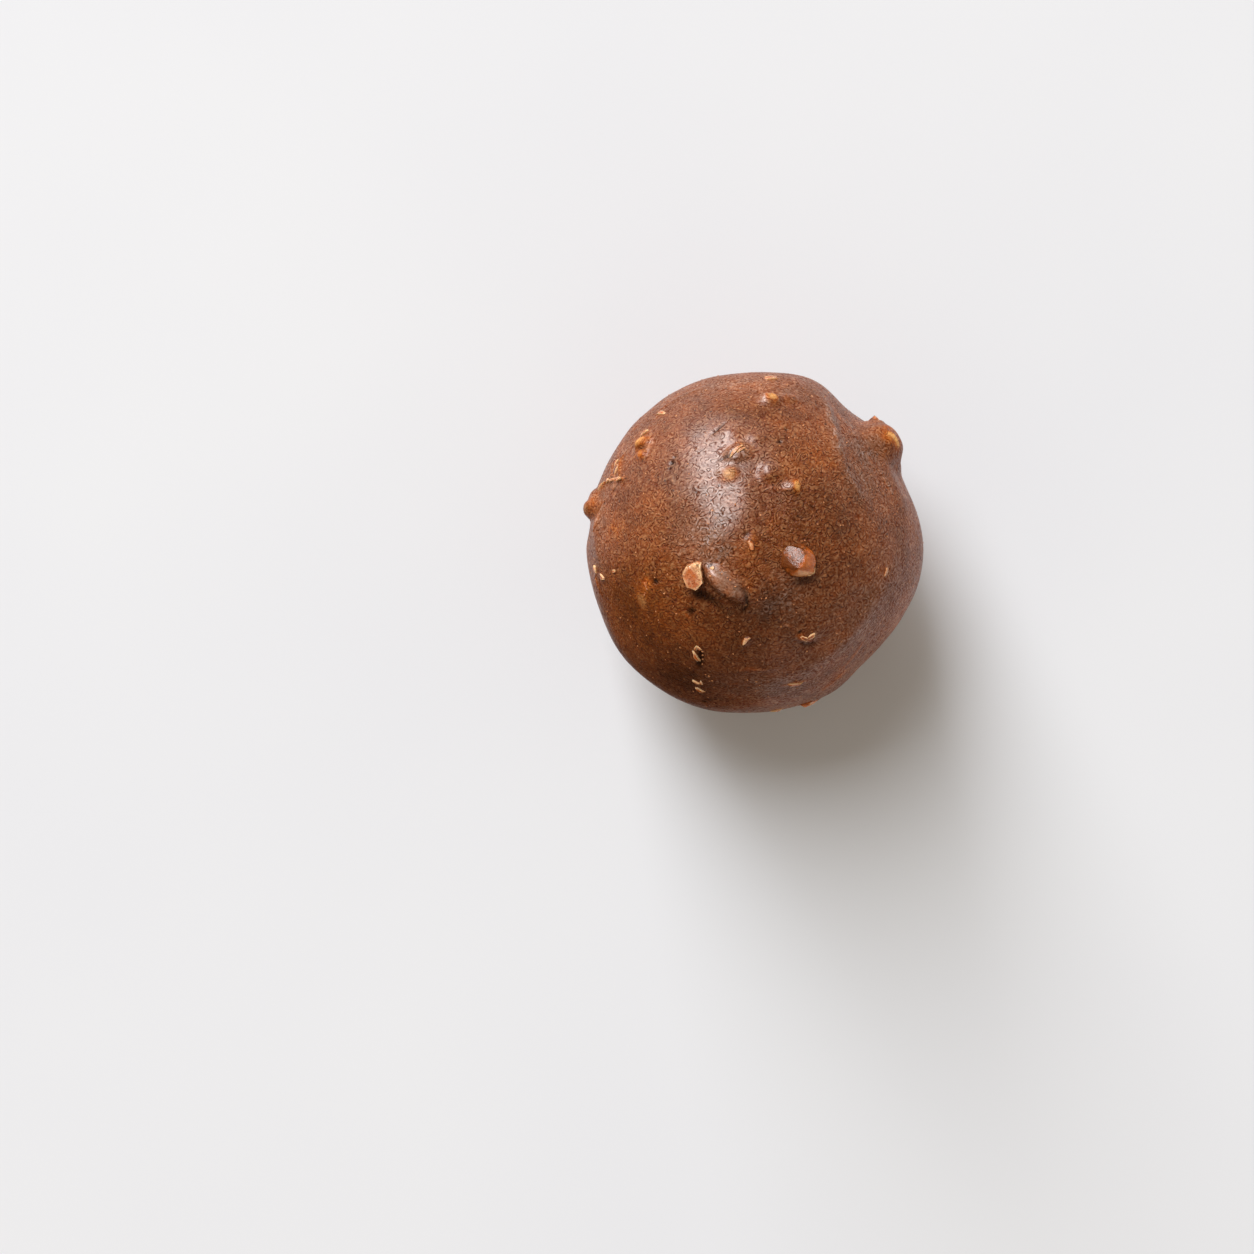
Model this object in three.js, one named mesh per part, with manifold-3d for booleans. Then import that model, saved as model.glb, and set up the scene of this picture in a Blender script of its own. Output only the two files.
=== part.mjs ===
// A chocolate truffle: a ball of milk chocolate with chopped hazelnuts under and in its skin.
// Millimetres, +Z up. The origin is the middle of the flat spot that the ball stands on, straight under
// its centre. Everything is one piece: the chocolate holds the nuts, so they are fused into one solid.

import * as THREE from "three";
import { mergeVertices } from "three/addons/utils/BufferGeometryUtils.js";
import Module from "manifold-3d";

// ---------------------------------------------------------------- driving dimensions

const BALL_RADIUS = 15; // of the ball without its swellings
const CENTRE_HEIGHT = 14.2; // of the ball's centre above the flat spot
const MESH_DETAIL = 20; // each of the ball's 20 base triangles is cut into (detail + 1) squared
const MESH_LIFT = 0.25; // share of the radius by which the mesh is drawn up, for finer faces on top

const MOUND_REACH = 0.5; // cosine of the angle past which a mound adds nothing
const HIDDEN_NUTS = 54; // places on the whole ball, of which the band below its waist is filled
const HIDDEN_FROM = -14; // degrees of rise at which that band starts
const HIDDEN_TO = -52; // and ends, above the flat spot

// The point over the truffle from which the x and y of places on its upper half are read, relative to the
// ball's centre.
const VIEWPOINT = new THREE.Vector3(-11.34, -7.59, 400);

// ---------------------------------------------------------------- places on the ball

const degrees = THREE.MathUtils.degToRad;

// The direction, from the ball's centre, of a heading round the waist and a rise above it.
function facing(heading, rise) {
  const level = Math.cos(degrees(rise));
  return new THREE.Vector3(
    level * Math.cos(degrees(heading)),
    level * Math.sin(degrees(heading)),
    Math.sin(degrees(rise)),
  );
}

// The direction of the point of the ball's upper half, or lift above it, that the viewpoint sees at this x
// and y, which are measured level with the ball's centre.
function above(x, y, lift = 0) {
  const ray = new THREE.Vector3(x, y, 0).sub(VIEWPOINT);
  const nearest = -VIEWPOINT.dot(ray) / ray.lengthSq();
  const middle = VIEWPOINT.clone().addScaledVector(ray, nearest);
  const back = Math.sqrt(Math.max((BALL_RADIUS + lift) ** 2 - middle.lengthSq(), 0) / ray.lengthSq());
  return middle.addScaledVector(ray, -back).normalize();
}

// The two directions along the surface at a place: along, turned from +X about the outward direction,
// and across, square to it.
function axesAt(at, turn) {
  const along = new THREE.Vector3(0, 1, 0).cross(at).normalize();
  along.applyAxisAngle(at, degrees(turn));
  return { along, across: at.clone().cross(along) };
}

// Evenly spread random numbers from 0 to 1, the same on each run.
function makeRandom(seed) {
  const factor = 48271;
  const modulus = 2147483647;
  let state = seed;
  return () => {
    state = (state * factor) % modulus;
    return state / modulus;
  };
}

// ---------------------------------------------------------------- the shape of the chocolate

// An oval rise of the skin, or a hollow where the height is negative. Length and width are those of the
// oval at which it has fallen to about a third, and a higher steepness gives a flatter top.
function mound(at, length, width, height, turn = 0, steepness = 1) {
  return { at, halfLength: length / 2, halfWidth: width / 2, height, steepness, ...axesAt(at, turn) };
}

// A long narrow rise or crease that follows a line of places and fades out at both ends.
function crest(places, width, height) {
  return { places, halfWidth: width / 2, height };
}

// Broad swellings and hollows that make the ball uneven.
const SWELLINGS = [
  mound(facing(236, -8), 17, 15, 0.6, 0, 1.6), // front left bulge
  mound(facing(268, 8), 12, 9, 0.26), // front
  mound(facing(72, 4), 7, 12, 0.42, 90), // shoulder at the back, where the long crest starts
  mound(facing(112, 2), 10, 14, 0.2), // back left
  mound(facing(299, 0), 5, 8, 0.16, 90), // front, past the chip
  mound(facing(320, 4), 9, 16, -0.48, 90, 1.5), // flat flank, front right
  mound(facing(346, 0), 8, 14, 0.12), // right
  mound(facing(152, 0), 10, 14, -0.16), // left flank
  mound(facing(174.5, -2), 2.4, 5, -0.42, 90), // nick under the left nut
  mound(above(10.2, 8.2), 13, 14, -0.66, -40), // trough between the crest and the right nut
  mound(facing(55, 0), 5, 16, -0.5, 90), // its way down behind that nut
  mound(facing(20, -2), 8, 13, -0.56, 90), // and its way down in front
  mound(above(0, 0), 12, 12, -0.3), // the crown is a little flat
  mound(above(-3.2, 3.5), 6, 12, 0.22, 8), // long swell left of the crown
  mound(above(-4.2, -0.6), 5.5, 5, 0.2), // and its foot
  mound(above(3.5, -4.5), 7, 6, -0.16, -30), // shallow dip in front of the crown
  mound(facing(60, -38), 14, 9, 0.3),
  mound(facing(150, -40), 12, 10, -0.25),
  mound(facing(205, -30), 10, 8, 0.22),
  mound(facing(300, -34), 12, 8, 0.3),
  mound(facing(350, -42), 9, 9, -0.3),
];

// Crests and creases of the poured skin.
const CRESTS = [
  crest([above(6.1, 13.2), above(6.9, 11.4), above(7.5, 9), above(8.4, 6.4), above(9.9, 4)], 1.7, 0.34),
  crest([above(11.6, 8.6), above(12.7, 5.6), above(13.6, 2.4)], 2.4, 0.22),
  crest([above(-0.9, 7.6), above(-0.7, 4.6), above(-1.3, 1.6), above(-2.6, -0.6)], 2.6, 0.12),
  crest(
    [above(1, -12.6), above(4.4, -11.4), above(7.8, -9), above(10.2, -6.2), above(12.2, -2.8)],
    2.2, 0.24,
  ),
  crest([above(-3.6, -11.6), above(-0.6, -11.5), above(2.4, -11.2)], 0.7, 0.1),
  crest([above(-13.8, 4.4), above(-14.1, 1.2), above(-13.9, -1.8)], 1.4, 0.16),
  crest([above(-8.9, 11.4), above(-6.6, 12.9), above(-4, 13.9)], 0.6, 0.08),
  crest([facing(25, -8), facing(40, -30), facing(58, -46)], 2.6, 0.4),
  crest([facing(128, -12), facing(118, -32), facing(122, -50)], 2.4, 0.36),
  crest([facing(196, -14), facing(206, -38), facing(228, -50)], 2.2, 0.34),
  crest([facing(318, -20), facing(330, -40), facing(322, -54)], 2.4, 0.36),
];

// Nuts that lie under the skin and lift it.
const COVERED_NUTS = [
  mound(above(-2.6, -3.95, 0.6), 4.3, 2, 0.95, -40, 2.8), // beside the bare chunk
  mound(above(4.1, -1.75, 0.4), 2.1, 2, 0.24, 10, 2), // foot of the lump right of the crown
  mound(above(-1.55, 8.05, 0.3), 2.1, 1.6, 0.38, 25, 1.8),
  mound(above(-2.4, 6.25, 0.3), 1.8, 1.7, 0.15, 0, 2), // left of the crown
  mound(above(-2, 9.9, 0.3), 2.6, 2, 0.32, 20),
  mound(above(0.2, 9.3), 1.7, 1.4, 0.18),
  mound(above(1.5, 6.5, 0.3), 1.9, 1.6, 0.42, 30, 1.4),
  mound(above(3.45, 5.1, 0.3), 1.3, 1, 0.26, 8, 1.6),
  mound(above(3.85, 5.05, 0.3), 0.95, 1.2, 0.28, 0, 2),
  mound(above(1.5, 13.05, 0.4), 2, 1.7, 0.42, 8, 1.8),
  mound(above(0.85, 13.15, 0.4), 1, 0.9, 0.22, 0, 1.6),
  mound(above(3.3, 13.2, 0.4), 1.6, 1.1, 0.22, 0, 1.6),
  mound(facing(37.8, 15), 4.8, 3.9, 1.62, 0, 1.7), // the big nut that stands out on the right
  mound(facing(29.5, 9), 3.6, 2.2, 0.4, 0, 1.5), // its lower slope
  mound(facing(44.6, 9), 2.2, 1.4, 0.64, 0, 1.5), // and its corner
  mound(above(-10.1, 8.8, 0.3), 1.9, 2.6, 0.3, -15, 1.6),
  mound(above(-10.2, 9, 0.5), 1.5, 0.9, 0.45, 45, 2.2),
  mound(above(-10.2, 8, 0.4), 1, 0.9, 0.3, 0, 2),
  mound(facing(166.6, 11), 3, 2.6, 0.52, 0, 2.6), // the nut that stands out on the left
  mound(facing(169.3, 11), 2.8, 1.5, 0.3, 0, 2.6), // and its round end
  mound(above(-0.3, -0.1), 1.3, 1.6, 0.2),
  mound(above(-0.8, -8.9), 1.4, 0.8, 0.2, 45),
  mound(above(4.8, -8.1), 2.2, 1.4, 0.26, 10),
  mound(above(2.6, -3.6), 3, 2.2, 0.16, 60),
  mound(facing(289.5, 1), 1.7, 1.3, 0.16, 80, 1.6),
  mound(above(7.4, 1.4), 2.6, 2, 0.12, 40),
  mound(above(-9.8, -4.9), 2.4, 3, 0.14),
  mound(above(5.6, -3.9), 2.2, 1.6, -0.12, -30),
];

// ---------------------------------------------------------------- the surface

function moundRise({ at, along, across, halfLength, halfWidth, height, steepness }, direction) {
  const towards = direction.dot(at);
  if (towards < MOUND_REACH) return 0;
  const reach = BALL_RADIUS / towards;
  const u = (direction.dot(along) * reach) / halfLength;
  const v = (direction.dot(across) * reach) / halfWidth;
  return height * Math.exp(-((u * u + v * v) ** steepness));
}

function crestRise({ places, halfWidth, height }, direction) {
  let nearest = Infinity;
  let share = 0;
  const spot = new THREE.Vector3();
  for (let i = 0; i + 1 < places.length; i++) {
    const stretch = places[i + 1].clone().sub(places[i]);
    const t = direction.clone().sub(places[i]).dot(stretch) / stretch.lengthSq();
    const within = THREE.MathUtils.clamp(t, 0, 1);
    spot.copy(places[i]).addScaledVector(stretch, within).normalize();
    const distance = spot.distanceTo(direction) * BALL_RADIUS;
    if (distance < nearest) {
      nearest = distance;
      share = (i + within) / (places.length - 1);
    }
  }
  const fade = Math.sqrt(Math.sin(Math.PI * THREE.MathUtils.clamp(share, 0.02, 0.98)));
  return height * fade * Math.exp(-((nearest / halfWidth) ** 2));
}

// Slow ripples of the skin, a few hundredths of a millimetre high.
function rippleRise({ x, y, z }) {
  const tall = Math.sin(7 * x + 4 * y + 1) * Math.sin(5 * y - 6 * z + 2);
  const fine = Math.sin(13 * x - 9 * z) * Math.sin(12 * y + 8 * x + 1) * Math.cos(11 * z - 5 * y);
  return 0.07 * tall + 0.05 * fine;
}

function skinRadius(direction) {
  let radius = BALL_RADIUS + rippleRise(direction);
  for (const m of [...SWELLINGS, ...COVERED_NUTS]) radius += moundRise(m, direction);
  for (const c of CRESTS) radius += crestRise(c, direction);
  return radius;
}

// ---------------------------------------------------------------- bare nuts

// The direction of the point of the skin that the viewpoint sees at this x and y.
function over(x, y) {
  const rounds = 6;
  let at = above(x, y);
  for (let i = 0; i < rounds; i++) at = above(x, y, skinRadius(at) - BALL_RADIUS);
  return at;
}

// A chopped piece of hazelnut: its size, how far it stands out of the skin, and its turn.
function chunk(at, length, width, standsOut, turn = 0) {
  return { at, length, width, height: Math.min(length, width) * 1.1, standsOut, turn };
}

// A thin curled flake of nut skin, with the angle by which it is tipped up.
function flake(at, length, width, turn = 0, tip = 12) {
  return { at, length, width, thickness: 0.28, turn, tip };
}

const CHUNKS = [
  chunk(over(-5.2, -2.95), 2.2, 2.2, 1, 0),
  chunk(over(4.05, -1.7), 2.4, 2.4, 0.9, 0),
  chunk(over(4.35, -2.68), 2.1, 0.8, 0.4, 0),
  chunk(facing(38.6, 5), 2.4, 2.6, 0.3, 0),
  chunk(facing(44.4, 9), 1.1, 0.9, 0.1, 40),
  chunk(over(-0.3, -0.15), 0.7, 1.1, 0.12, 0),
  chunk(over(-0.8, -8.85), 1.1, 0.45, 0.12, 52),
  chunk(over(11.8, -2.65), 0.4, 0.8, 0.12, 0),
  chunk(facing(288.5, 4), 1.6, 1, 0.3, 80),
  chunk(over(-3.75, -2.35), 0.4, 0.3, 0.12, 20),
  chunk(over(-9.65, -3.8), 0.5, 0.6, 0.06, 0),
];

const FLAKES = [
  flake(over(-12.35, 6.4), 1.3, 0.5, 84, 6),
  flake(over(-12.3, 7.05), 0.7, 0.24, 75, 6),
  flake(over(-12.15, 5.6), 0.8, 0.3, 12, 14),
  flake(over(-13.05, 5.45), 0.6, 0.26, 28, 14),
  flake(over(-12.7, 5.52), 1.2, 0.16, 7, 0),
  flake(over(-13.6, 4.85), 1.3, 0.16, 47, 4),
  flake(over(-9.9, 9.65), 1.2, 0.3, 39, 14),
  flake(over(1.55, 14.65), 1.5, 0.7, 0, 2),
  flake(over(-8.4, 11.5), 1.7, 0.4, -5, 8),
  flake(over(-14.15, -2.55), 0.8, 0.4, 80, 14),
  flake(over(-13.6, -3.1), 1, 0.46, -20, 14),
  flake(over(-12.5, -2.6), 0.6, 0.24, 10, 10),
  flake(over(5.05, -8.45), 0.95, 0.34, 52, 20),
  flake(over(4.5, -8.6), 0.8, 0.3, -25, 8),
  flake(over(-5.2, -9.5), 0.7, 0.22, 60, 22),
  flake(over(-4.85, -9.5), 0.6, 0.2, 115, 22),
  flake(over(-5.12, -10.3), 1.5, 0.34, 94, 10),
  flake(over(-5.05, -12.55), 0.9, 0.24, 110, 20),
  flake(over(-4.7, -12.6), 0.8, 0.22, 68, 20),
  flake(over(-4.72, -13.25), 1.1, 0.4, 112, 10),
  flake(facing(277, 6), 1.5, 0.5, 88, 4),
  flake(facing(282, -6), 1.2, 0.5, 70, 6),
  flake(over(3.5, -12.7), 1.5, 0.3, 8, 6),
  flake(over(-1.55, 8.3), 1.3, 0.2, 42, 4),
  flake(over(-1.75, 8), 1.1, 0.16, 48, 4),
  flake(over(-1.2, 8.2), 0.9, 0.16, 38, 4),
];

// Below the waist the nuts are spread by a turning rule, with seeded changes of size, place and kind:
// every third one is bare, every fourth a flake, and the rest are covered.
function spreadHiddenNuts() {
  const random = makeRandom(20);
  const goldenTurn = 137.508;
  const lumps = [];
  for (let i = 0; i < HIDDEN_NUTS; i++) {
    const rise = 90 - THREE.MathUtils.radToDeg(Math.acos(1 - (2 * i + 1) / HIDDEN_NUTS));
    const at = facing(i * goldenTurn + 10 * random(), rise + 6 * (random() - 0.5));
    const size = 1.3 + 1.3 * random();
    const turn = 360 * random();
    if (rise > HIDDEN_FROM || rise < HIDDEN_TO) continue;
    if (i % 4 === 0) {
      FLAKES.push(flake(at, 0.9 * size, 0.3 * size, turn));
    } else {
      lumps.push(mound(at, 1.5 * size, size, 0.3 * size, turn, 1.6));
      if (i % 3 === 0) CHUNKS.push(chunk(at, 1.1 * size, 0.85 * size, 0.42 * size, turn));
    }
  }
  COVERED_NUTS.push(...lumps);
}
spreadHiddenNuts();

// ---------------------------------------------------------------- solids

// A closed geometry with its shared vertices merged, which is what a manifold solid is made from.
function closed(geometry) {
  geometry.deleteAttribute("normal");
  geometry.deleteAttribute("uv");
  return mergeVertices(geometry, 1e-4);
}

function chocolateBall() {
  const geometry = closed(new THREE.IcosahedronGeometry(1, MESH_DETAIL));
  const position = geometry.getAttribute("position");
  const direction = new THREE.Vector3();
  for (let i = 0; i < position.count; i++) {
    direction.fromBufferAttribute(position, i);
    direction.z += MESH_LIFT;
    direction.normalize();
    direction.multiplyScalar(skinRadius(direction));
    position.setXYZ(i, direction.x, direction.y, direction.z);
  }
  return geometry;
}

// Moves a geometry made about its own middle, with +Z outwards, to its place in or on the skin.
function setInSkin(geometry, { at, turn }, depth) {
  const { along, across } = axesAt(at, turn);
  const place = new THREE.Matrix4().makeBasis(along, across, at);
  place.setPosition(at.clone().multiplyScalar(skinRadius(at) - depth));
  return geometry.applyMatrix4(place);
}

// A knobbly chopped piece with 20 faces.
function chunkGeometry(piece, random) {
  const { length, width, height, standsOut } = piece;
  const geometry = closed(new THREE.IcosahedronGeometry(0.5, 0));
  const position = geometry.getAttribute("position");
  for (let i = 0; i < position.count; i++) {
    const stretch = 0.88 + 0.3 * random();
    position.setXYZ(i, position.getX(i) * stretch, position.getY(i) * stretch, position.getZ(i) * stretch);
  }
  geometry.scale(length, width, height);
  return setInSkin(geometry, piece, height / 2 - standsOut);
}

// A thin plate that curls down towards its ends and is tipped up at one of them.
function flakeGeometry(piece) {
  const { length, width, thickness, tip } = piece;
  const stretches = 4;
  const curl = 0.35;
  const geometry = closed(new THREE.BoxGeometry(length, width, thickness, stretches, 1, 1));
  const position = geometry.getAttribute("position");
  for (let i = 0; i < position.count; i++) {
    const alongShare = position.getX(i) / length;
    position.setZ(i, position.getZ(i) - curl * length * alongShare ** 2);
    position.setY(i, position.getY(i) * (1 - alongShare ** 2));
  }
  geometry.rotateY(-degrees(tip));
  return setInSkin(geometry, piece, 0);
}

const wasm = await Module();
wasm.setup();

function solidOf(geometry) {
  const vertProperties = geometry.getAttribute("position").array;
  const triVerts = new Uint32Array(geometry.index.array);
  return new wasm.Manifold(new wasm.Mesh({ numProp: 3, vertProperties, triVerts }));
}

function geometryOf(solid) {
  const mesh = solid.getMesh();
  return new THREE.BufferGeometry()
    .setAttribute("position", new THREE.BufferAttribute(mesh.vertProperties, 3))
    .setIndex(new THREE.BufferAttribute(mesh.triVerts, 1));
}

// The block of space under the flat spot, relative to the ball's centre.
function underTheFoot() {
  const side = 3 * BALL_RADIUS;
  return closed(new THREE.BoxGeometry(side, side, side).translate(0, 0, -CENTRE_HEIGHT - side / 2));
}

function fuseTruffle() {
  const random = makeRandom(7);
  let truffle = solidOf(chocolateBall());
  for (const piece of CHUNKS) truffle = truffle.add(solidOf(chunkGeometry(piece, random)));
  for (const piece of FLAKES) truffle = truffle.add(solidOf(flakeGeometry(piece)));
  return geometryOf(truffle.subtract(solidOf(underTheFoot())));
}

// ---------------------------------------------------------------- the part

const milkChocolate = new THREE.MeshStandardMaterial({ color: 0x7a4a30, roughness: 0.45, metalness: 0 });

const truffle = new THREE.Mesh(fuseTruffle(), milkChocolate);
truffle.name = "truffle";
truffle.position.z = CENTRE_HEIGHT;

const part = new THREE.Group();
part.add(truffle);

export default part;
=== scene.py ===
import math
import random

import bmesh
import bpy
import numpy as np
from mathutils import Matrix, Vector, noise


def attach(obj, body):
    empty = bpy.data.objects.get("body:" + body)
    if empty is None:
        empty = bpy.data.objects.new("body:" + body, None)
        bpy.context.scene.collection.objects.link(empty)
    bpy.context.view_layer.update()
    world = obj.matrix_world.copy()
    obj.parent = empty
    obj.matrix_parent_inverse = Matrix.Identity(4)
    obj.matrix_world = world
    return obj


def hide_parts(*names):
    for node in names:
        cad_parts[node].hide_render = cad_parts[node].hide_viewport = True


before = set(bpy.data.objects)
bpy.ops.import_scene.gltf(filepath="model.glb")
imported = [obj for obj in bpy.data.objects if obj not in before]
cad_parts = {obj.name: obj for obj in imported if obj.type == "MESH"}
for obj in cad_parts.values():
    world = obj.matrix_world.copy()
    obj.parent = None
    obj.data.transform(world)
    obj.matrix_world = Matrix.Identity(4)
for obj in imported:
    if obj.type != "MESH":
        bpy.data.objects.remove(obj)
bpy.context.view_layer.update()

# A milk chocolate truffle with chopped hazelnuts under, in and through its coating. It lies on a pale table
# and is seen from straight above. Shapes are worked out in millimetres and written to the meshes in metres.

MM = 0.001

# ---------------------------------------------------------------- driving dimensions, in millimetres

BALL_RADIUS = 15.0
CENTRE_HEIGHT = 14.2  # of the ball's centre above the table
FOOT_ROUNDING = 0.25  # over which the skin turns into its flat spot
UNDERSIDE = -0.3  # height of the directions below which the table can touch the skin
MOUND_REACH = 0.5  # cosine of the angle past which a mound adds nothing
SHARP_EDGES = 0.1  # softness up to which a nut piece keeps its flat faces
ROUNDING = 0.45  # how far a softer piece is drawn to a ball, where 1 is all the way

SKIN_CUTS = 126  # cuts across each side of the cube that becomes the skin
SKIN_LIFT = 0.32  # share of the radius by which its mesh is drawn up, for finer faces on top

HIDDEN_NUTS = 54
HIDDEN_FROM = -14  # degrees above the waist
HIDDEN_TO = -52
RANDOM_CUTS = 9  # flat sides of a nut piece that has no cut faces of its own
SMALL_CRUMBS = 460
LARGE_CRUMB = (0.07, 0.1)  # smallest and largest radius
SMALL_CRUMB = (0.035, 0.075)

CENTRE = np.array((0.0, 0.0, CENTRE_HEIGHT))
VIEWPOINT = np.array((-11.34, -7.59, 400.0))  # from the ball's centre


# ---------------------------------------------------------------- places on the ball

def unit(vector):
    vector = np.asarray(vector, dtype=float)
    return vector / np.linalg.norm(vector)


def facing(heading, rise):
    """The direction of a heading round the waist and a rise above it, in degrees."""
    h, r = math.radians(heading), math.radians(rise)
    return np.array((math.cos(r) * math.cos(h), math.cos(r) * math.sin(h), math.sin(r)))


def above(x, y, lift=0.0):
    """The direction of the point of the upper half of the ball, or lift above it, that the viewpoint sees at
    this x and y, which are measured level with the ball's centre."""
    ray = np.array((x, y, 0.0)) - VIEWPOINT
    nearest = -(VIEWPOINT @ ray) / (ray @ ray)
    middle = VIEWPOINT + nearest * ray
    back = math.sqrt(max((BALL_RADIUS + lift) ** 2 - middle @ middle, 0) / (ray @ ray))
    return unit(middle - back * ray)


def axes_at(at, turn):
    """Two directions along the surface at a place, the first turned from +X about the outward one."""
    along = unit(np.cross((0, 1, 0), at))
    across = np.cross(at, along)
    t = math.radians(turn)
    along = along * math.cos(t) + across * math.sin(t)
    return along, np.cross(at, along)


def make_draw(seed):
    """Evenly spread numbers from 0 to 1, the same on each run."""
    state = seed
    while True:
        state = state * 48271 % 2147483647
        yield state / 2147483647


# ---------------------------------------------------------------- the shape of the chocolate

def mound(at, length, width, height, turn=0, steepness=1.0, film=0.0, bloom_and_sheen=0.0, tone_and_shading=0.0):
    """An oval rise, or a hollow where the height is negative. Film says how far a nut shows through the
    chocolate, from 0 to 2 where it is bare. The next value says how matt and grey the chocolate is, as grey
    fat on its surface and as painted sheen, and the last how light or, below 0, how dark, as lighter and
    darker patches of its own and as painted light and shade. What overlapping places say adds up."""
    along, across = axes_at(at, turn)
    return dict(at=at, along=along, across=across, half_length=length / 2, half_width=width / 2,
                height=height, steepness=steepness, film=film, bloom_and_sheen=bloom_and_sheen, tone_and_shading=tone_and_shading)


def crest(spots, width, height, film=0.0, bloom_and_sheen=0.0, tone_and_shading=0.0, find=above):
    """A long narrow rise or crease that follows a line of spots and fades out at both ends. Find is what
    turns the numbers of a spot into its direction."""
    return dict(places=[find(*spot) for spot in spots], half_width=width / 2, height=height,
                film=film, bloom_and_sheen=bloom_and_sheen, tone_and_shading=tone_and_shading)


SWELLINGS = [
    mound(facing(236, -8), 17, 15, 0.6, 0, 1.6),  # front left bulge
    mound(facing(268, 8), 12, 9, 0.26),  # front
    mound(facing(72, 4), 7, 12, 0.42, 90),  # shoulder at the back, where the long crest starts
    mound(facing(112, 2), 10, 14, 0.2),  # back left
    mound(facing(299, 0), 5, 8, 0.16, 90),  # front, past the chip
    mound(facing(320, 4), 9, 16, -0.48, 90, 1.5),  # flat flank, front right
    mound(facing(346, 0), 8, 14, 0.12),  # right
    mound(facing(152, 0), 10, 14, -0.16),  # left flank
    mound(facing(174.5, -2), 2.4, 5, -0.42, 90),  # nick under the left nut
    mound(above(10.2, 8.2), 13, 14, -0.66, -40),  # trough between the crest and the right nut
    mound(facing(55, 0), 5, 16, -0.5, 90),  # its way down behind that nut
    mound(facing(20, -2), 8, 13, -0.56, 90),  # and its way down in front
    mound(above(0, 0), 12, 12, -0.3),  # the crown is a little flat
    mound(above(-3.2, 3.5), 6, 12, 0.22, 8),  # long swell left of the crown
    mound(above(-4.2, -0.6), 5.5, 5, 0.2),  # and its foot
    mound(above(3.5, -4.5), 7, 6, -0.16, -30),  # shallow dip in front of the crown
    mound(facing(60, -38), 14, 9, 0.3),
    mound(facing(150, -40), 12, 10, -0.25),
    mound(facing(205, -30), 10, 8, 0.22),
    mound(facing(300, -34), 12, 8, 0.3),
    mound(facing(350, -42), 9, 9, -0.3),
]

CRESTS = [
    crest([(6.1, 13.2), (6.9, 11.4), (7.5, 9), (8.4, 6.4), (9.9, 4)], 1.7, 0.34, bloom_and_sheen=0.3),
    crest([(11.6, 8.6), (12.7, 5.6), (13.6, 2.4)], 2.4, 0.22),
    crest([(-0.9, 7.6), (-0.7, 4.6), (-1.3, 1.6), (-2.6, -0.6)], 2.6, 0.12),
    crest([(1, -12.6), (4.4, -11.4), (7.8, -9), (10.2, -6.2), (12.2, -2.8)], 2.2, 0.24, bloom_and_sheen=0.3),
    crest([(-3.6, -11.6), (-0.6, -11.5), (2.4, -11.2)], 0.7, 0.1),
    crest([(-13.8, 4.4), (-14.1, 1.2), (-13.9, -1.8)], 1.4, 0.16),
    crest([(-8.9, 11.4), (-6.6, 12.9), (-4, 13.9)], 0.6, 0.08),
    crest([(25, -8), (40, -30), (58, -46)], 2.6, 0.4, find=facing),
    crest([(128, -12), (118, -32), (122, -50)], 2.4, 0.36, find=facing),
    crest([(196, -14), (206, -38), (228, -50)], 2.2, 0.34, find=facing),
    crest([(318, -20), (330, -40), (322, -54)], 2.4, 0.36, find=facing),
]
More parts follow.
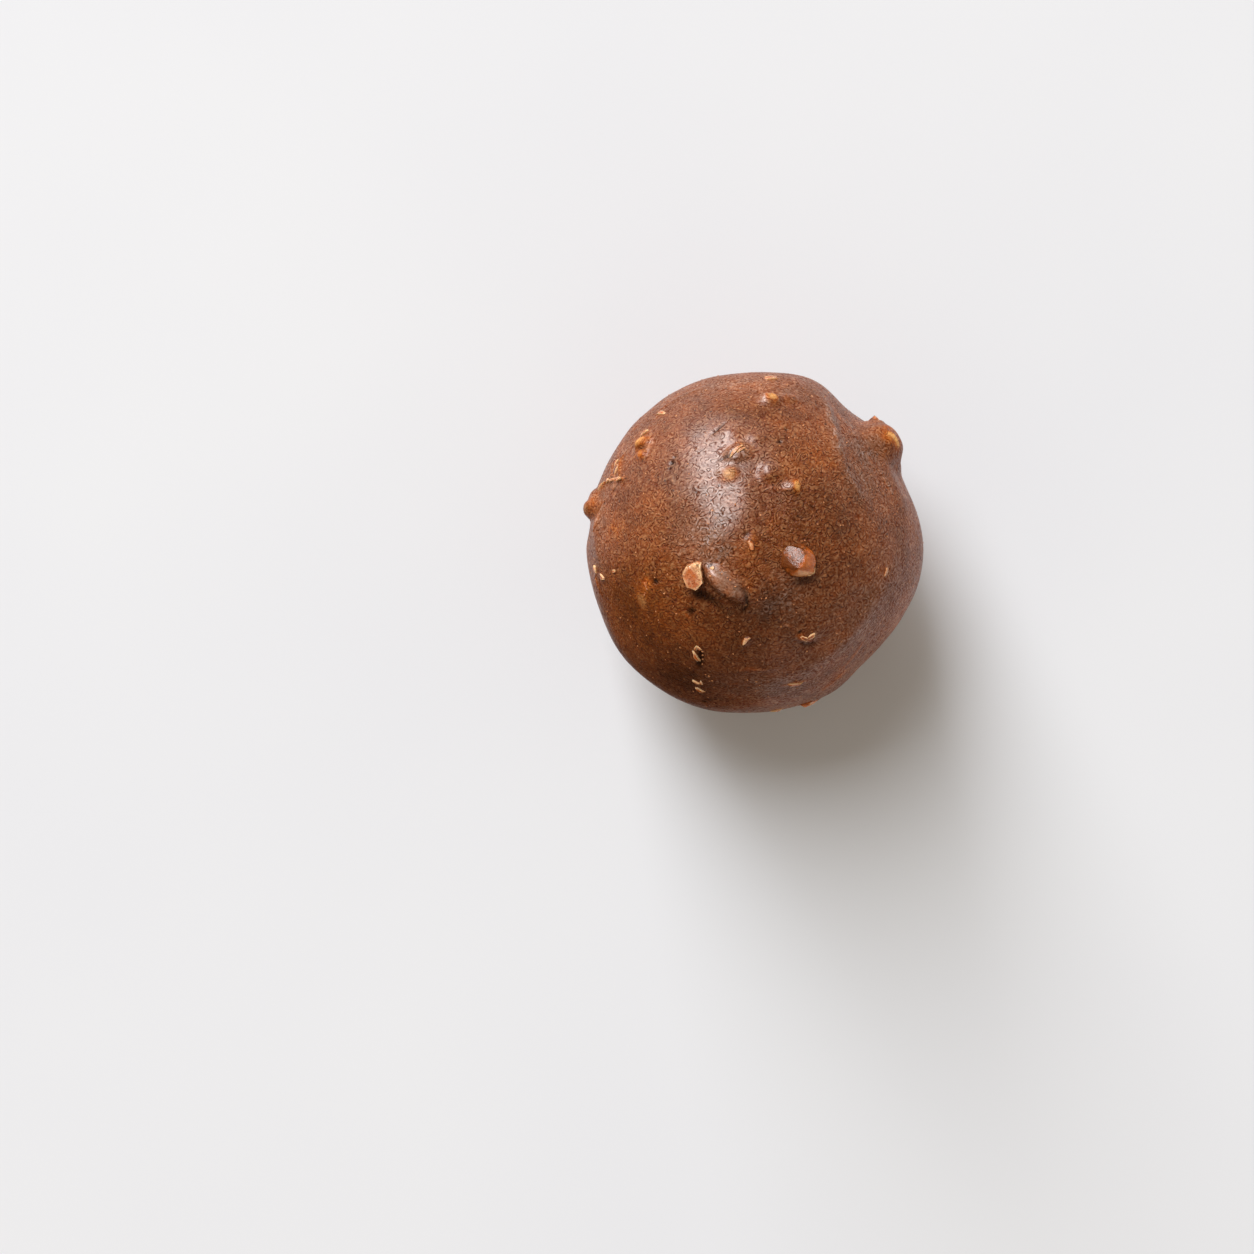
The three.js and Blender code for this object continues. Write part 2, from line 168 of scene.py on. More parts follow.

# Fine lines in the skin: cracks and creases, painted darker as their shade, and drawn-out streaks that lie a
# little proud, painted lighter as the light they catch, and orange where a nut shows through.
LINES = [
    crest([(-3.8, 9.5), (-3.1, 10.05), (-2.5, 10.6)], 0.26, -0.16, tone_and_shading=-1),
    crest([(-3.2, 7.2), (-2.6, 7.5), (-2.1, 7.55), (-1.7, 7.85)], 0.24, -0.16, tone_and_shading=-1),
    crest([(-1.7, 8.75), (-1.15, 8.75), (-0.8, 8.35)], 0.26, 0.08, film=0.9, tone_and_shading=-0.3),
    crest([(8.5, 6.2), (8.9, 5.5), (9.5, 4.6)], 0.34, 0.05, bloom_and_sheen=0.9, tone_and_shading=0.6),
    crest([(10.2, 8.5), (10.8, 7.6), (11.4, 6.9)], 0.34, 0.05, bloom_and_sheen=0.8, tone_and_shading=0.5),
    crest([(11.3, 7.2), (12.2, 5.6), (12.8, 4)], 0.3, 0.04, bloom_and_sheen=0.8, tone_and_shading=0.4),
    crest([(9.2, 7.6), (10.3, 5.6), (11.2, 3.6)], 0.3, 0.03, bloom_and_sheen=0.8, tone_and_shading=0.3),
    crest([(6.3, 13.1), (6.9, 11.4), (7.5, 9.2), (8.2, 7.2)], 0.8, 0.05, bloom_and_sheen=0.6, tone_and_shading=0.25),
    crest([(1.2, 4.9), (2.3, 4.8), (3.3, 4.7)], 0.2, 0.09, tone_and_shading=0.9),
    crest([(2.4, -12.9), (3.6, -12.6), (4.8, -12.3)], 0.4, 0.08, film=0.8, tone_and_shading=0.5),
    crest([(7.6, -11.6), (9, -10.3), (10, -9)], 0.6, 0.06, film=0.4, tone_and_shading=0.3),
    crest([(5.9, -13.2), (7.2, -12.3), (8.3, -11.4)], 0.5, 0.1, film=0.4, tone_and_shading=0.2),
    crest([(-14.2, -2.7), (-14, -3.7), (-13.5, -4.9)], 0.24, 0.1, tone_and_shading=0.9),
    crest([(-13.3, 4.4), (-13.5, 3.1), (-14.05, 1.5), (-14.4, 0.1)], 0.4, 0.1, bloom_and_sheen=0.8, tone_and_shading=0.8),
    crest([(-13.7, 4.2, 0.3), (-13.95, 3.6, 0.4), (-14.2, 3, 0.4), (-14.5, 2.2, 0.3)],
          0.6, -0.12, film=0.9, tone_and_shading=-0.7),
    crest([(-1.4, -11.45), (-0.5, -11.3), (0.4, -11.35), (1.2, -11.5)], 0.2, 0.08, tone_and_shading=0.8),
    crest([(-6.2, -6.3), (-5.4, -7.2)], 0.2, 0.08, tone_and_shading=0.6),
    crest([(2.7, -7.4), (3.3, -7.6), (3.9, -7.9)], 0.2, 0.08, tone_and_shading=0.7),
    crest([(3.9, -8.1), (4.3, -8.5), (5, -8.75)], 0.5, 0.1, film=1.2, tone_and_shading=0.2),
    crest([(3.8, -8.8), (4.8, -9.2), (5.7, -8.8)], 0.5, -0.1, tone_and_shading=-0.6),
    crest([(-4.8, -9.5), (-4.75, -10.3), (-4.9, -11.1)], 0.55, -0.16, tone_and_shading=-1),
    crest([(-10.9, 9.9), (-10.3, 10.5)], 0.3, 0.06, tone_and_shading=0.3),
    crest([(-10.6, 8.5, 0.4), (-10.1, 8.5, 0.4), (-9.7, 8.8, 0.4)], 0.34, -0.12, tone_and_shading=-0.6),
    crest([(-3.8, -2.1), (-2.9, -2.7), (-2.1, -3.3), (-1.2, -4.3)], 0.4, -0.22, tone_and_shading=-0.9),
    crest([(-1.3, -3.6), (-0.7, -4.6), (-0.6, -5.8), (-1.4, -6.6)], 0.3, -0.1, tone_and_shading=-0.6),
    crest([(11.7, 9.8, 0.8), (12.35, 9.5, 1), (12.7, 9.05, 1), (12.95, 8.2, 0.7)],
          0.55, 0.05, film=1.6, tone_and_shading=0.05),
    crest([(11.3, 10.4, 1), (12.3, 10.1, 1.1), (12.9, 9.5, 1.1), (13.1, 8.2, 1.1)], 0.8, 0, film=0.7),
    crest([(-11.6, 8), (-11.9, 7.3), (-12.05, 6.6), (-12, 5.6)], 0.4, 0.18, film=0.8, tone_and_shading=-0.35),
    crest([(-12.5, 7.4), (-12.75, 6.6), (-12.6, 5.5)], 0.26, 0.14, tone_and_shading=0.5),
    crest([(-11.5, 5.8), (-12.1, 5.5), (-12.6, 5.6), (-12.8, 6)], 0.34, 0.2, film=0.8, bloom_and_sheen=0.6, tone_and_shading=0.3),
    crest([(-12.5, 5.8), (-13.1, 5.5), (-13.45, 5.1), (-13.9, 4.2)],
          0.34, 0.18, film=0.6, bloom_and_sheen=0.6, tone_and_shading=0.4),
]

COVERED_NUTS = [
    mound(above(-2.6, -3.95, 0.6), 4.3, 2, 0.95, -40, 2.8, bloom_and_sheen=0.2),  # beside the bare chunk
    mound(above(4.1, -1.75, 0.4), 2.1, 2, 0.24, 10, 2),  # foot of the lump right of the crown
    mound(above(-1.55, 8.05, 0.3), 2.1, 1.6, 0.38, 25, 1.8, bloom_and_sheen=0.6, tone_and_shading=0.15),
    mound(above(-2.4, 6.25, 0.3), 1.8, 1.7, 0.15, 0, 2, film=0.1),  # left of the crown
    mound(above(-2, 9.9, 0.3), 2.6, 2, 0.32, 20),
    mound(above(0.2, 9.3), 1.7, 1.4, 0.18),
    mound(above(1.5, 6.5, 0.3), 1.9, 1.6, 0.42, 30, 1.4),
    mound(above(3.45, 5.1, 0.3), 1.3, 1, 0.26, 8, 1.6),
    mound(above(3.85, 5.05, 0.3), 0.95, 1.2, 0.28, 0, 2),
    mound(above(1.5, 13.05, 0.4), 2, 1.7, 0.42, 8, 1.8),
    mound(above(0.85, 13.15, 0.4), 1, 0.9, 0.22, 0, 1.6),
    mound(above(3.3, 13.2, 0.4), 1.6, 1.1, 0.22, 0, 1.6),
    mound(facing(37.8, 15), 4.8, 3.9, 1.62, 0, 1.7),  # the big nut that stands out on the right
    mound(facing(29.5, 9), 3.6, 2.2, 0.4, 0, 1.5),  # its lower slope
    mound(facing(44.6, 9), 2.2, 1.4, 0.64, 0, 1.5, film=0.3, bloom_and_sheen=0.3),  # and its corner
    mound(above(-10.1, 8.8, 0.3), 1.9, 2.6, 0.3, -15, 1.6, film=0.35),
    mound(above(-10.2, 9, 0.5), 1.5, 0.9, 0.45, 45, 2.2, film=1.1),
    mound(above(-10.2, 8, 0.4), 1, 0.9, 0.3, 0, 2, film=1),
    mound(facing(166.6, 11), 3, 2.6, 0.52, 0, 2.6, film=0.2),  # the nut that stands out on the left
    mound(facing(169.3, 11), 2.8, 1.5, 0.3, 0, 2.6, film=0.2),  # and its round end
    mound(above(-0.3, -0.1), 1.3, 1.6, 0.2, film=0.6),
    mound(above(-0.8, -8.9), 1.4, 0.8, 0.2, 45),
    mound(above(4.8, -8.1), 2.2, 1.4, 0.26, 10),
    mound(above(2.6, -3.6), 3, 2.2, 0.16, 60),
    mound(facing(289.5, 1), 1.7, 1.3, 0.16, 80, 1.6, film=1),
    mound(above(7.4, 1.4), 2.6, 2, 0.12, 40),
    mound(above(-9.8, -4.9), 2.4, 3, 0.14, film=0.35),
    # a hollow, painted darker as its shade
    mound(above(5.6, -3.9), 2.2, 1.6, -0.12, -30, tone_and_shading=-0.2),
]

# The smooth back of the lump beside the bare chunk, painted light and grey: partly grey fat on its surface,
# partly painted light and sheen that its top catches.
LUMP_BACK_PAINTED_LIGHT = mound(above(-2.8, -3.6, 0.9), 3.4, 1.3, 0, -40, 1.8, bloom_and_sheen=1, tone_and_shading=1)

# Places where the chocolate is thin over a nut, where it is matt and grey, and where light, sheen and shade
# are painted on it, with next to no rise of their own.
STAINS = [
    mound(above(-2.25, 6.15, 0.3), 1.4, 1.4, 0, 0, 3, film=1.35, tone_and_shading=-0.4),
    mound(above(-1.8, 6.15, 0.4), 0.4, 1.1, 0, tone_and_shading=-0.2),
    # painted highlight on the left of the nut left of the crown
    mound(above(-2.95, 6.6, 0.4), 0.8, 0.9, 0, 0, 1.5, bloom_and_sheen=0.9, tone_and_shading=0.4),
    mound(above(3.92, 5.1, 0.4), 0.85, 1.25, 0, 0, 2.2, film=1.6, tone_and_shading=0.1),
    # painted light on the lower half of the nut right of the crown, and a painted highlight left of it
    mound(above(3.95, 4.8, 0.4), 0.7, 0.6, 0, 0, 1.5, tone_and_shading=0.5),
    mound(above(3.25, 5.05, 0.4), 0.7, 0.6, 0, 0, 1.5, bloom_and_sheen=0.7, tone_and_shading=0.5),
    mound(above(1.65, 13.1, 0.4), 1.1, 1.3, 0, 0, 2.2, film=1.6),
    # painted highlight on the lower left of the nut at the top, and on the bump beside it
    mound(above(0.85, 12.95, 0.4), 0.9, 0.8, 0, 0, 1.5, bloom_and_sheen=1, tone_and_shading=1),
    mound(above(3.6, 13.3, 0.4), 0.5, 0.5, 0, tone_and_shading=0.8),
    mound(above(-14.9, 2.8, 0.5), 3.4, 1.6, 0, 0, 1.5, film=0.8, tone_and_shading=-0.5),
    # painted highlights: above the nut on the left, and beside the pair of nuts over it
    mound(above(-14.55, 3.8, 0.5), 2, 1, 0, 0, 1.5, film=0.3, bloom_and_sheen=0.4, tone_and_shading=0.2),
    mound(above(-9.55, 9.1, 0.5), 0.7, 1, 0, bloom_and_sheen=0.9, tone_and_shading=0.8),
    mound(above(10.9, 9.3, 0.9), 3, 3, 0, bloom_and_sheen=0.7, tone_and_shading=-0.2),
    mound(above(12.15, 9.35, 0.9), 1.6, 0.85, 0, -45, 1.8, film=1.0),
    mound(above(6, 7.8), 3.4, 2.6, 0, film=0.35),
    mound(above(1.8, 1.8), 1.2, 2, 0, film=0.4),
    mound(above(-12.6, 1.2), 2.6, 1.4, 0, film=0.45),
    mound(above(-7, -8), 12, 8, 0, film=0.25),
    mound(above(-0.5, -2), 1.8, 4.6, 0, film=0.4),
    mound(above(-0.3, -5), 1.2, 2, 0, film=0.4),
    mound(above(7.6, -12), 3, 1.6, 0, 30, film=0.3),
    mound(above(7.6, 12), 1.6, 4.4, 0, -20, film=0.4),
    # painted shade on the lower left
    mound(above(-11, -4), 5, 6, 0, tone_and_shading=-0.15),
    mound(facing(22, 14), 9, 9, 0, film=0.25, tone_and_shading=0.1),
    mound(facing(-2, 14), 7, 9, 0, film=0.2),
    mound(facing(-30, 12), 7, 9, 0, film=0.3),
    mound(above(-9.6, -3.7), 0.8, 0.9, 0, film=0.5, tone_and_shading=0.5),
    mound(above(-10, -5.2), 1.4, 2, 0, film=0.3, tone_and_shading=0.3),
    # painted sheen across the saddle on the right
    mound(above(10.5, 7), 8, 9, 0, -50, bloom_and_sheen=0.4, tone_and_shading=-0.12),
    mound(above(2, -5.6), 5, 5, 0, bloom_and_sheen=0.6, tone_and_shading=-0.25),
    # painted shade over the lower half, in front of the crown
    mound(above(-1, -6.5), 11, 7, 0, tone_and_shading=-0.42),
    LUMP_BACK_PAINTED_LIGHT,
    # painted shadows below the lump beside the bare chunk and below the lump right of the crown
    mound(above(-2.9, -4.7, 0.5), 3, 0.6, 0, -40, 1.4, tone_and_shading=-0.3),
    mound(above(-4.7, -4.75), 2.2, 0.9, 0, -15, 1.4, tone_and_shading=-0.7),  # in the shade of the bare chunk
    mound(above(-3.6, -5.3), 3, 0.9, 0, -40, 1.4, tone_and_shading=-0.45),
    mound(above(4.6, -3.5), 2.2, 0.8, 0, 10, 1.4, tone_and_shading=-0.6),
    mound(above(0.5, -13), 9, 3.6, 0, bloom_and_sheen=0.6),
    mound(above(9.5, -6), 7, 8, 0, bloom_and_sheen=0.25),
    mound(above(12.5, -1), 6, 10, 0, tone_and_shading=0.05),
    # painted shade on the lower left and at the bottom, deeper and more orange
    mound(above(-10.5, -6.5), 11, 14, 0, film=0.6, tone_and_shading=-0.6),
    mound(above(-6, -12.5), 10, 7, 0, tone_and_shading=-0.6),
    mound(above(-1, -10.5), 12, 7, 0, tone_and_shading=-0.25),
    # painted highlights: along the left edge, at the top, and where the window's reflection lies left of the
    # crown
    mound(above(-13.6, 3), 4, 9, 0, bloom_and_sheen=0.3, tone_and_shading=0.25),
    mound(above(-2, 14), 14, 4, 0, bloom_and_sheen=0.4, tone_and_shading=0.1),
    mound(above(-3.4, 3.5), 5, 12, 0, bloom_and_sheen=0.7, tone_and_shading=0.15),
    mound(above(-4, -0.4), 5, 3.5, 0, bloom_and_sheen=0.6, tone_and_shading=0.2),
    mound(above(-0.4, 12, 0.5), 8, 4, 0, film=0.2, tone_and_shading=-0.55),
    # painted shade right of the crown, where the skin turns from the window
    mound(above(5.5, 3), 8, 8, 0, tone_and_shading=-0.35),
    mound(above(1, 1.5), 4, 5, 0, tone_and_shading=-0.25),
    mound(above(11.5, -1.5), 4, 7, 0, bloom_and_sheen=0.2, tone_and_shading=0.15),
]

# Where the skin is silky and throws back the window. Here the height says how silky: the places add up to
# between 0 and 1, and one below 0 takes away from the others.
SILKY_PLACES = [
    mound(above(-3.4, 5.4), 11, 18.5, 0.34, 10, 1.6),
    mound(above(-0.5, 12.3), 6, 3, -0.4),
    mound(above(-6, 8.5), 14, 12, 0.2, 40, 1.5),
    mound(above(-2.4, 10.3), 6, 4, 0.3),
    mound(above(-4.3, -0.2), 5, 4, 0.35),
    mound(above(-2.6, -3.6, 0.9), 3.6, 1.2, 1, -40, 1.5),
    mound(above(0.85, 12.95, 0.4), 1, 0.9, 1, 0, 1.5),
    mound(above(3.2, 5.1, 0.4), 0.7, 0.7, 0.4, 0, 1.5),
    mound(above(1.5, 6.7, 0.4), 1.6, 1.4, 0.5, 0, 1.5),
]

# Small pits where an air bubble or a crumb has left the skin, painted dark as their shade.
PITS = [
    mound(above(-7.3, 7.1), 0.5, 0.5, -0.14, 0, 1.5, tone_and_shading=-1),
    mound(above(-7.05, 7.6), 0.3, 0.3, -0.1, 0, 1.5, tone_and_shading=-0.8),
    mound(above(-7.5, 6.6), 0.35, 0.3, -0.1, 0, 1.5, tone_and_shading=-0.8),
    mound(above(-8.76, -3.54), 0.5, 0.45, -0.14, 0, 1.5, tone_and_shading=-1),
    mound(above(-5.6, -6.2), 0.8, 0.6, -0.14, 30, 1.5, tone_and_shading=-0.6),
    mound(above(2.3, 9), 0.4, 0.35, -0.12, 0, 1.5, tone_and_shading=-0.9),
    mound(above(-0.7, 0.7), 0.5, 0.7, -0.06, -30, 1.5, tone_and_shading=-0.7),
    mound(above(-12.5, 4.7), 0.6, 0.3, -0.1, 60, 1.5, tone_and_shading=-0.9),
    mound(above(5.2, 3.2), 0.5, 0.3, -0.06, -50, 1.5, tone_and_shading=-0.6),
    mound(above(-3.9, -2.1), 0.4, 0.3, -0.12, 0, 1.5, tone_and_shading=-1),
    mound(above(4.05, -8), 0.4, 0.25, -0.12, 30, 1.5, tone_and_shading=-1),
    mound(above(-4.3, -13.9), 0.5, 0.4, -0.1, 0, 1.5, tone_and_shading=-0.9),
    mound(above(2.9, 10.2), 0.35, 0.3, -0.1, 0, 1.5, tone_and_shading=-0.8),
]


# ---------------------------------------------------------------- the surface

def share_of(m, directions):
    """How much of a mound is felt in each direction, from 0 to 1."""
    towards = directions @ m["at"]
    reach = BALL_RADIUS / np.maximum(towards, MOUND_REACH)
    u = directions @ m["along"] * reach / m["half_length"]
    v = directions @ m["across"] * reach / m["half_width"]
    return np.where(towards > MOUND_REACH, np.exp(-((u * u + v * v) ** m["steepness"])), 0)


def share_of_crest(c, directions):
    nearest = np.full(len(directions), np.inf)
    share = np.zeros(len(directions))
    places = c["places"]
    for i, (start, end) in enumerate(zip(places, places[1:])):
        stretch = end - start
        within = np.clip((directions - start) @ stretch / (stretch @ stretch), 0, 1)
        spots = start + within[:, None] * stretch
        spots /= np.linalg.norm(spots, axis=1, keepdims=True)
        distance = np.linalg.norm(spots - directions, axis=1) * BALL_RADIUS
        closer = distance < nearest
        nearest = np.where(closer, distance, nearest)
        share = np.where(closer, (i + within) / (len(places) - 1), share)
    fade = np.sqrt(np.sin(math.pi * np.clip(share, 0.02, 0.98)))
    return fade * np.exp(-((nearest / c["half_width"]) ** 2))


def ripple(directions):
    """Slow ripples of the skin, a few hundredths of a millimetre high."""
    x, y, z = directions.T
    tall = np.sin(7 * x + 4 * y + 1) * np.sin(5 * y - 6 * z + 2)
    fine = np.sin(13 * x - 9 * z) * np.sin(12 * y + 8 * x + 1) * np.cos(11 * z - 5 * y)
    return 0.07 * tall + 0.05 * fine


def on_table(radius, directions):
    """The smaller of the skin's radius and the distance to the table, with a rounded change-over."""
    down = np.minimum(directions[:, 2], UNDERSIDE)
    to_table = -CENTRE_HEIGHT / down
    closeness = np.maximum(FOOT_ROUNDING - np.abs(radius - to_table), 0) / FOOT_ROUNDING
    rested = np.minimum(radius, to_table) - closeness ** 2 * FOOT_ROUNDING / 4
    return np.where(directions[:, 2] < UNDERSIDE, rested, radius)


def skin_radius(directions):
    directions = np.atleast_2d(directions)
    radius = BALL_RADIUS + ripple(directions)
    for m in SWELLINGS + COVERED_NUTS + PITS:
        radius = radius + m["height"] * share_of(m, directions)
    for c in CRESTS + LINES:
        radius = radius + c["height"] * share_of_crest(c, directions)
    return on_table(radius, directions)


# ---------------------------------------------------------------- bare nuts

def over(x, y):
    """The direction of the point of the skin that has this x and y."""
    at = above(x, y)
    for _ in range(6):
        at = above(x, y, skin_radius(at)[0] - BALL_RADIUS)
    return at


def chunk(at, length, width, stands_out, turn=0, sides=(), coat=(0.0,), toast=(0.3,), softness=0.07):
    """A chopped piece of hazelnut: its size, how far it stands out of the skin and its turn. Sides are the
    heading, the distance and the slope of each of its cut faces, where it has its own. Coat says how thick
    chocolate lies on it, from 0 to 1, and toast how far it is from pale to orange: each is a value, then
    headings with the distance past which it changes and by how much. Softness is how round its edges are."""
    height = stands_out * 2 + 0.5 if sides else min(length, width) * 1.1
    return dict(at=at, length=length, width=width, height=height, softness=softness,
                stands_out=stands_out, turn=turn, sides=sides, coat=coat, toast=toast)


def flake(at, length, width, turn=0, tip=12, coat=0.3, toast=0.85):
    """A thin curled flake of nut skin, with the angle by which it is tipped up."""
    return dict(at=at, length=length, width=width, thickness=0.16, turn=turn, tip=tip, coat=coat, toast=toast)


CHUNKS = [
    chunk(over(-5.2, -2.95), 2.2, 2.2, 1.0, 0,
          sides=((148, 0.88, 6), (107, 1.0, 5), (71, 1.2, 4), (4, 0.92, -12), (314, 1.03, -4), (249, 1.0, 6),
                 (201, 0.78, 6)),
          # its upper right is painted lighter, a painted highlight
          coat=(0.0, (200, 0.3, 0.12)), toast=(0.68, (30, 0.3, -0.4)), softness=0.05),
    chunk(over(4.05, -1.7), 2.4, 2.4, 0.9, 0,
          sides=((135, -0.2, 52), (30, 0.0, 62), (350, 1.1, 14), (265, 0.75, 22), (262, 0.35, 52),
                 (222, 0.45, 36), (175, 0.25, 42), (105, 0.3, 40), (60, 0.6, 30), (24, 0.85, 24)),
          coat=(0.4, (150, 0.0, 0.5), (215, 0.7, 0.4), (262, 0.75, -0.6)), toast=(1,), softness=0.15),
    chunk(over(4.35, -2.68), 2.1, 0.8, 0.4, 0,
          sides=((90, 0.5, 0), (0, 1.0, 6), (300, 0.5, 10), (270, 0.26, 8), (240, 0.6, 10), (180, 0.95, 20)),
          coat=(0, (180, 0.7, 0.3)), toast=(0.35,), softness=0.08),
    chunk(facing(38.6, 5), 2.4, 2.6, 0.3, 0, coat=(0.3,), toast=(0.9,), softness=0.1),
    chunk(facing(44.4, 9), 1.1, 0.9, 0.1, 40, coat=(0.3,), toast=(0.15,)),
    chunk(over(-0.3, -0.15), 0.7, 1.1, 0.12, 0, coat=(0.2,), toast=(0.75,), softness=0.1),
    chunk(over(-0.8, -8.85), 1.1, 0.45, 0.12, 52, coat=(0.15,), toast=(0.3,), softness=0.1),
    chunk(over(11.8, -2.65), 0.4, 0.8, 0.12, 0, coat=(0.2,), toast=(0.5,)),
    chunk(facing(288.5, 4), 1.6, 1, 0.3, 80, coat=(0,), toast=(0.9,), softness=0.1),
    chunk(over(-3.75, -2.35), 0.4, 0.3, 0.12, 20, coat=(0.1,), toast=(0.2,)),
    chunk(over(-9.65, -3.8), 0.5, 0.6, 0.06, 0, coat=(0.3,), toast=(0.6,), softness=0.1),
]

FLAKES = [
    flake(over(-12.35, 6.4), 1.3, 0.5, 84, 6, 0.9),
    flake(over(-12.3, 7.05), 0.7, 0.24, 75, 6, 0.1),
    flake(over(-12.15, 5.6), 0.8, 0.3, 12, 14, 0.1, 0.5),
    flake(over(-13.05, 5.45), 0.6, 0.26, 28, 14, 0.1, 0.5),
    flake(over(-12.7, 5.52), 1.2, 0.16, 7, 0, 0.3, 0.5),
    flake(over(-13.6, 4.85), 1.3, 0.16, 47, 4, 0.3, 0.5),
    flake(over(-9.9, 9.65), 1.2, 0.3, 39, 14, 0, 0.5),
    flake(over(1.55, 14.65), 1.5, 0.7, 0, 2, 0.5, 0.4),
    flake(over(-8.4, 11.5), 1.7, 0.4, -5, 8, 0.3),
    flake(over(-14.15, -2.55), 0.8, 0.4, 80, 14, 0),
    flake(over(-13.6, -3.1), 1, 0.46, -20, 14, 0),
    flake(over(-12.5, -2.6), 0.6, 0.24, 10, 10, 0.1),
    flake(over(5.05, -8.45), 0.95, 0.34, 52, 20, 0),
    flake(over(4.5, -8.6), 0.8, 0.3, -25, 8, 0.7),
    flake(over(-5.2, -9.5), 0.7, 0.22, 60, 22, 0),
    flake(over(-4.85, -9.5), 0.6, 0.2, 115, 22, 0.1),
    flake(over(-5.12, -10.3), 1.5, 0.34, 94, 10, 0.1),
    flake(over(-5.05, -12.55), 0.9, 0.24, 110, 20, 0.1),
    flake(over(-4.7, -12.6), 0.8, 0.22, 68, 20, 0.2),
    flake(over(-4.72, -13.25), 1.1, 0.4, 112, 10, 0.5),
    flake(facing(277, 6), 1.5, 0.5, 88, 4, 0.2),
    flake(facing(282, -6), 1.2, 0.5, 70, 6, 0.2),
    flake(over(3.5, -12.7), 1.5, 0.3, 8, 6, 0.4),
    flake(over(-1.55, 8.3), 1.3, 0.2, 42, 4, 0.2, 0.5),
    flake(over(-1.75, 8.0), 1.1, 0.16, 48, 4, 0.2, 0.5),
    flake(over(-1.2, 8.2), 0.9, 0.16, 38, 4, 0.2, 0.5),
]

# Crumbs that catch the light, where each of the larger ones lies.
CRUMB_PLACES = [
    (-2.77, -2.76), (-2.3, -3.1), (-1.6, -3.85), (3.14, 9.39), (3.68, 9.39), (2.04, 7.78), (1.63, 10.6),
    (4.5, 10.6), (-11.95, -6.8), (-8, -4.6), (-6.9, -6.4), (-7.7, -2.9), (6.1, -13.1), (7.8, -12.1),
    (7.7, -6.8), (-4, -11.9), (-3.7, -12.3), (8.6, 9.2), (0.6, 2.4), (-11.6, 5.9), (-9.8, 4.3),
    (-2.95, -2.5), (-9.7, -4.7), (-9.5, -4.2), (-1.3, -8.05), (-1.85, -10), (1.1, -5.1),
    (-4.6, -9.8), (-4.6, -10.15), (-4.58, -10.5), (-4.6, -10.9), (-3.8, -2.3), (-3.7, -2.9), (-2.05, -3.3),
]


def spread_hidden_nuts():
    """Below the waist the nuts are spread by a turning rule, with seeded changes of size and place."""
    draw = make_draw(20)
    golden_turn = 137.508
    lumps = []
    for i in range(HIDDEN_NUTS):
        rise = 90 - math.degrees(math.acos(1 - (2 * i + 1) / HIDDEN_NUTS))
        heading = i * golden_turn + 10 * next(draw)
        at = facing(heading, rise + 6 * (next(draw) - 0.5))
        size = 1.3 + 1.3 * next(draw)
        turn = 360 * next(draw)
        if rise > HIDDEN_FROM or rise < HIDDEN_TO:
            continue
        if i % 4 == 0:
            FLAKES.append(flake(at, 0.9 * size, 0.3 * size, turn))
        else:
            lumps.append(mound(at, 1.5 * size, size, 0.3 * size, turn, 1.6, film=0.2))
            if i % 3 == 0:
                CHUNKS.append(chunk(at, 1.1 * size, 0.85 * size, 0.42 * size, turn,
                                    coat=(0.25,), toast=(0.6,)))
    COVERED_NUTS.extend(lumps)


spread_hidden_nuts()


# ---------------------------------------------------------------- finishes

def rgb(red, green, blue):
    """A colour from its values on a screen, 0 to 255, as the light it gives back."""
    def linear(value):
        value /= 255
        return value / 12.92 if value <= 0.04045 else ((value + 0.055) / 1.055) ** 2.4
    return (linear(red), linear(green), linear(blue), 1)


CHOCOLATE_LIGHT = rgb(132, 68, 28)
CHOCOLATE_DARK = rgb(110, 55, 20)
# matt grey chocolate, also used as painted sheen
CHOCOLATE_BLOOM_AND_SHEEN = rgb(120, 82, 60)
CHOCOLATE_THIN = rgb(168, 84, 24)
SPECK_LIGHT = rgb(206, 136, 84)
SPECK_DARK = rgb(56, 24, 9)
NUT_PALE = rgb(244, 196, 146)
NUT_GOLD = rgb(236, 176, 104)
NUT_TAN = rgb(196, 122, 84)
NUT_ORANGE = rgb(200, 98, 22)
NUT_SKIN = rgb(140, 66, 24)
CRUMB_TAN = rgb(172, 104, 62)

CREASE_RUNS = 1.35  # how many bends a crease makes in a millimetre
CREASE_TURNS = 17.0  # how closely creases lie side by side
CREASE_DEPTH = 0.07  # millimetres
RIDGE_LIGHT_CREASE_SHADE = (1.5, 2.1, 3.3)  # painted light and shade: how many times as much red, green and blue a ridge top is painted to give back, and a crease as many times less


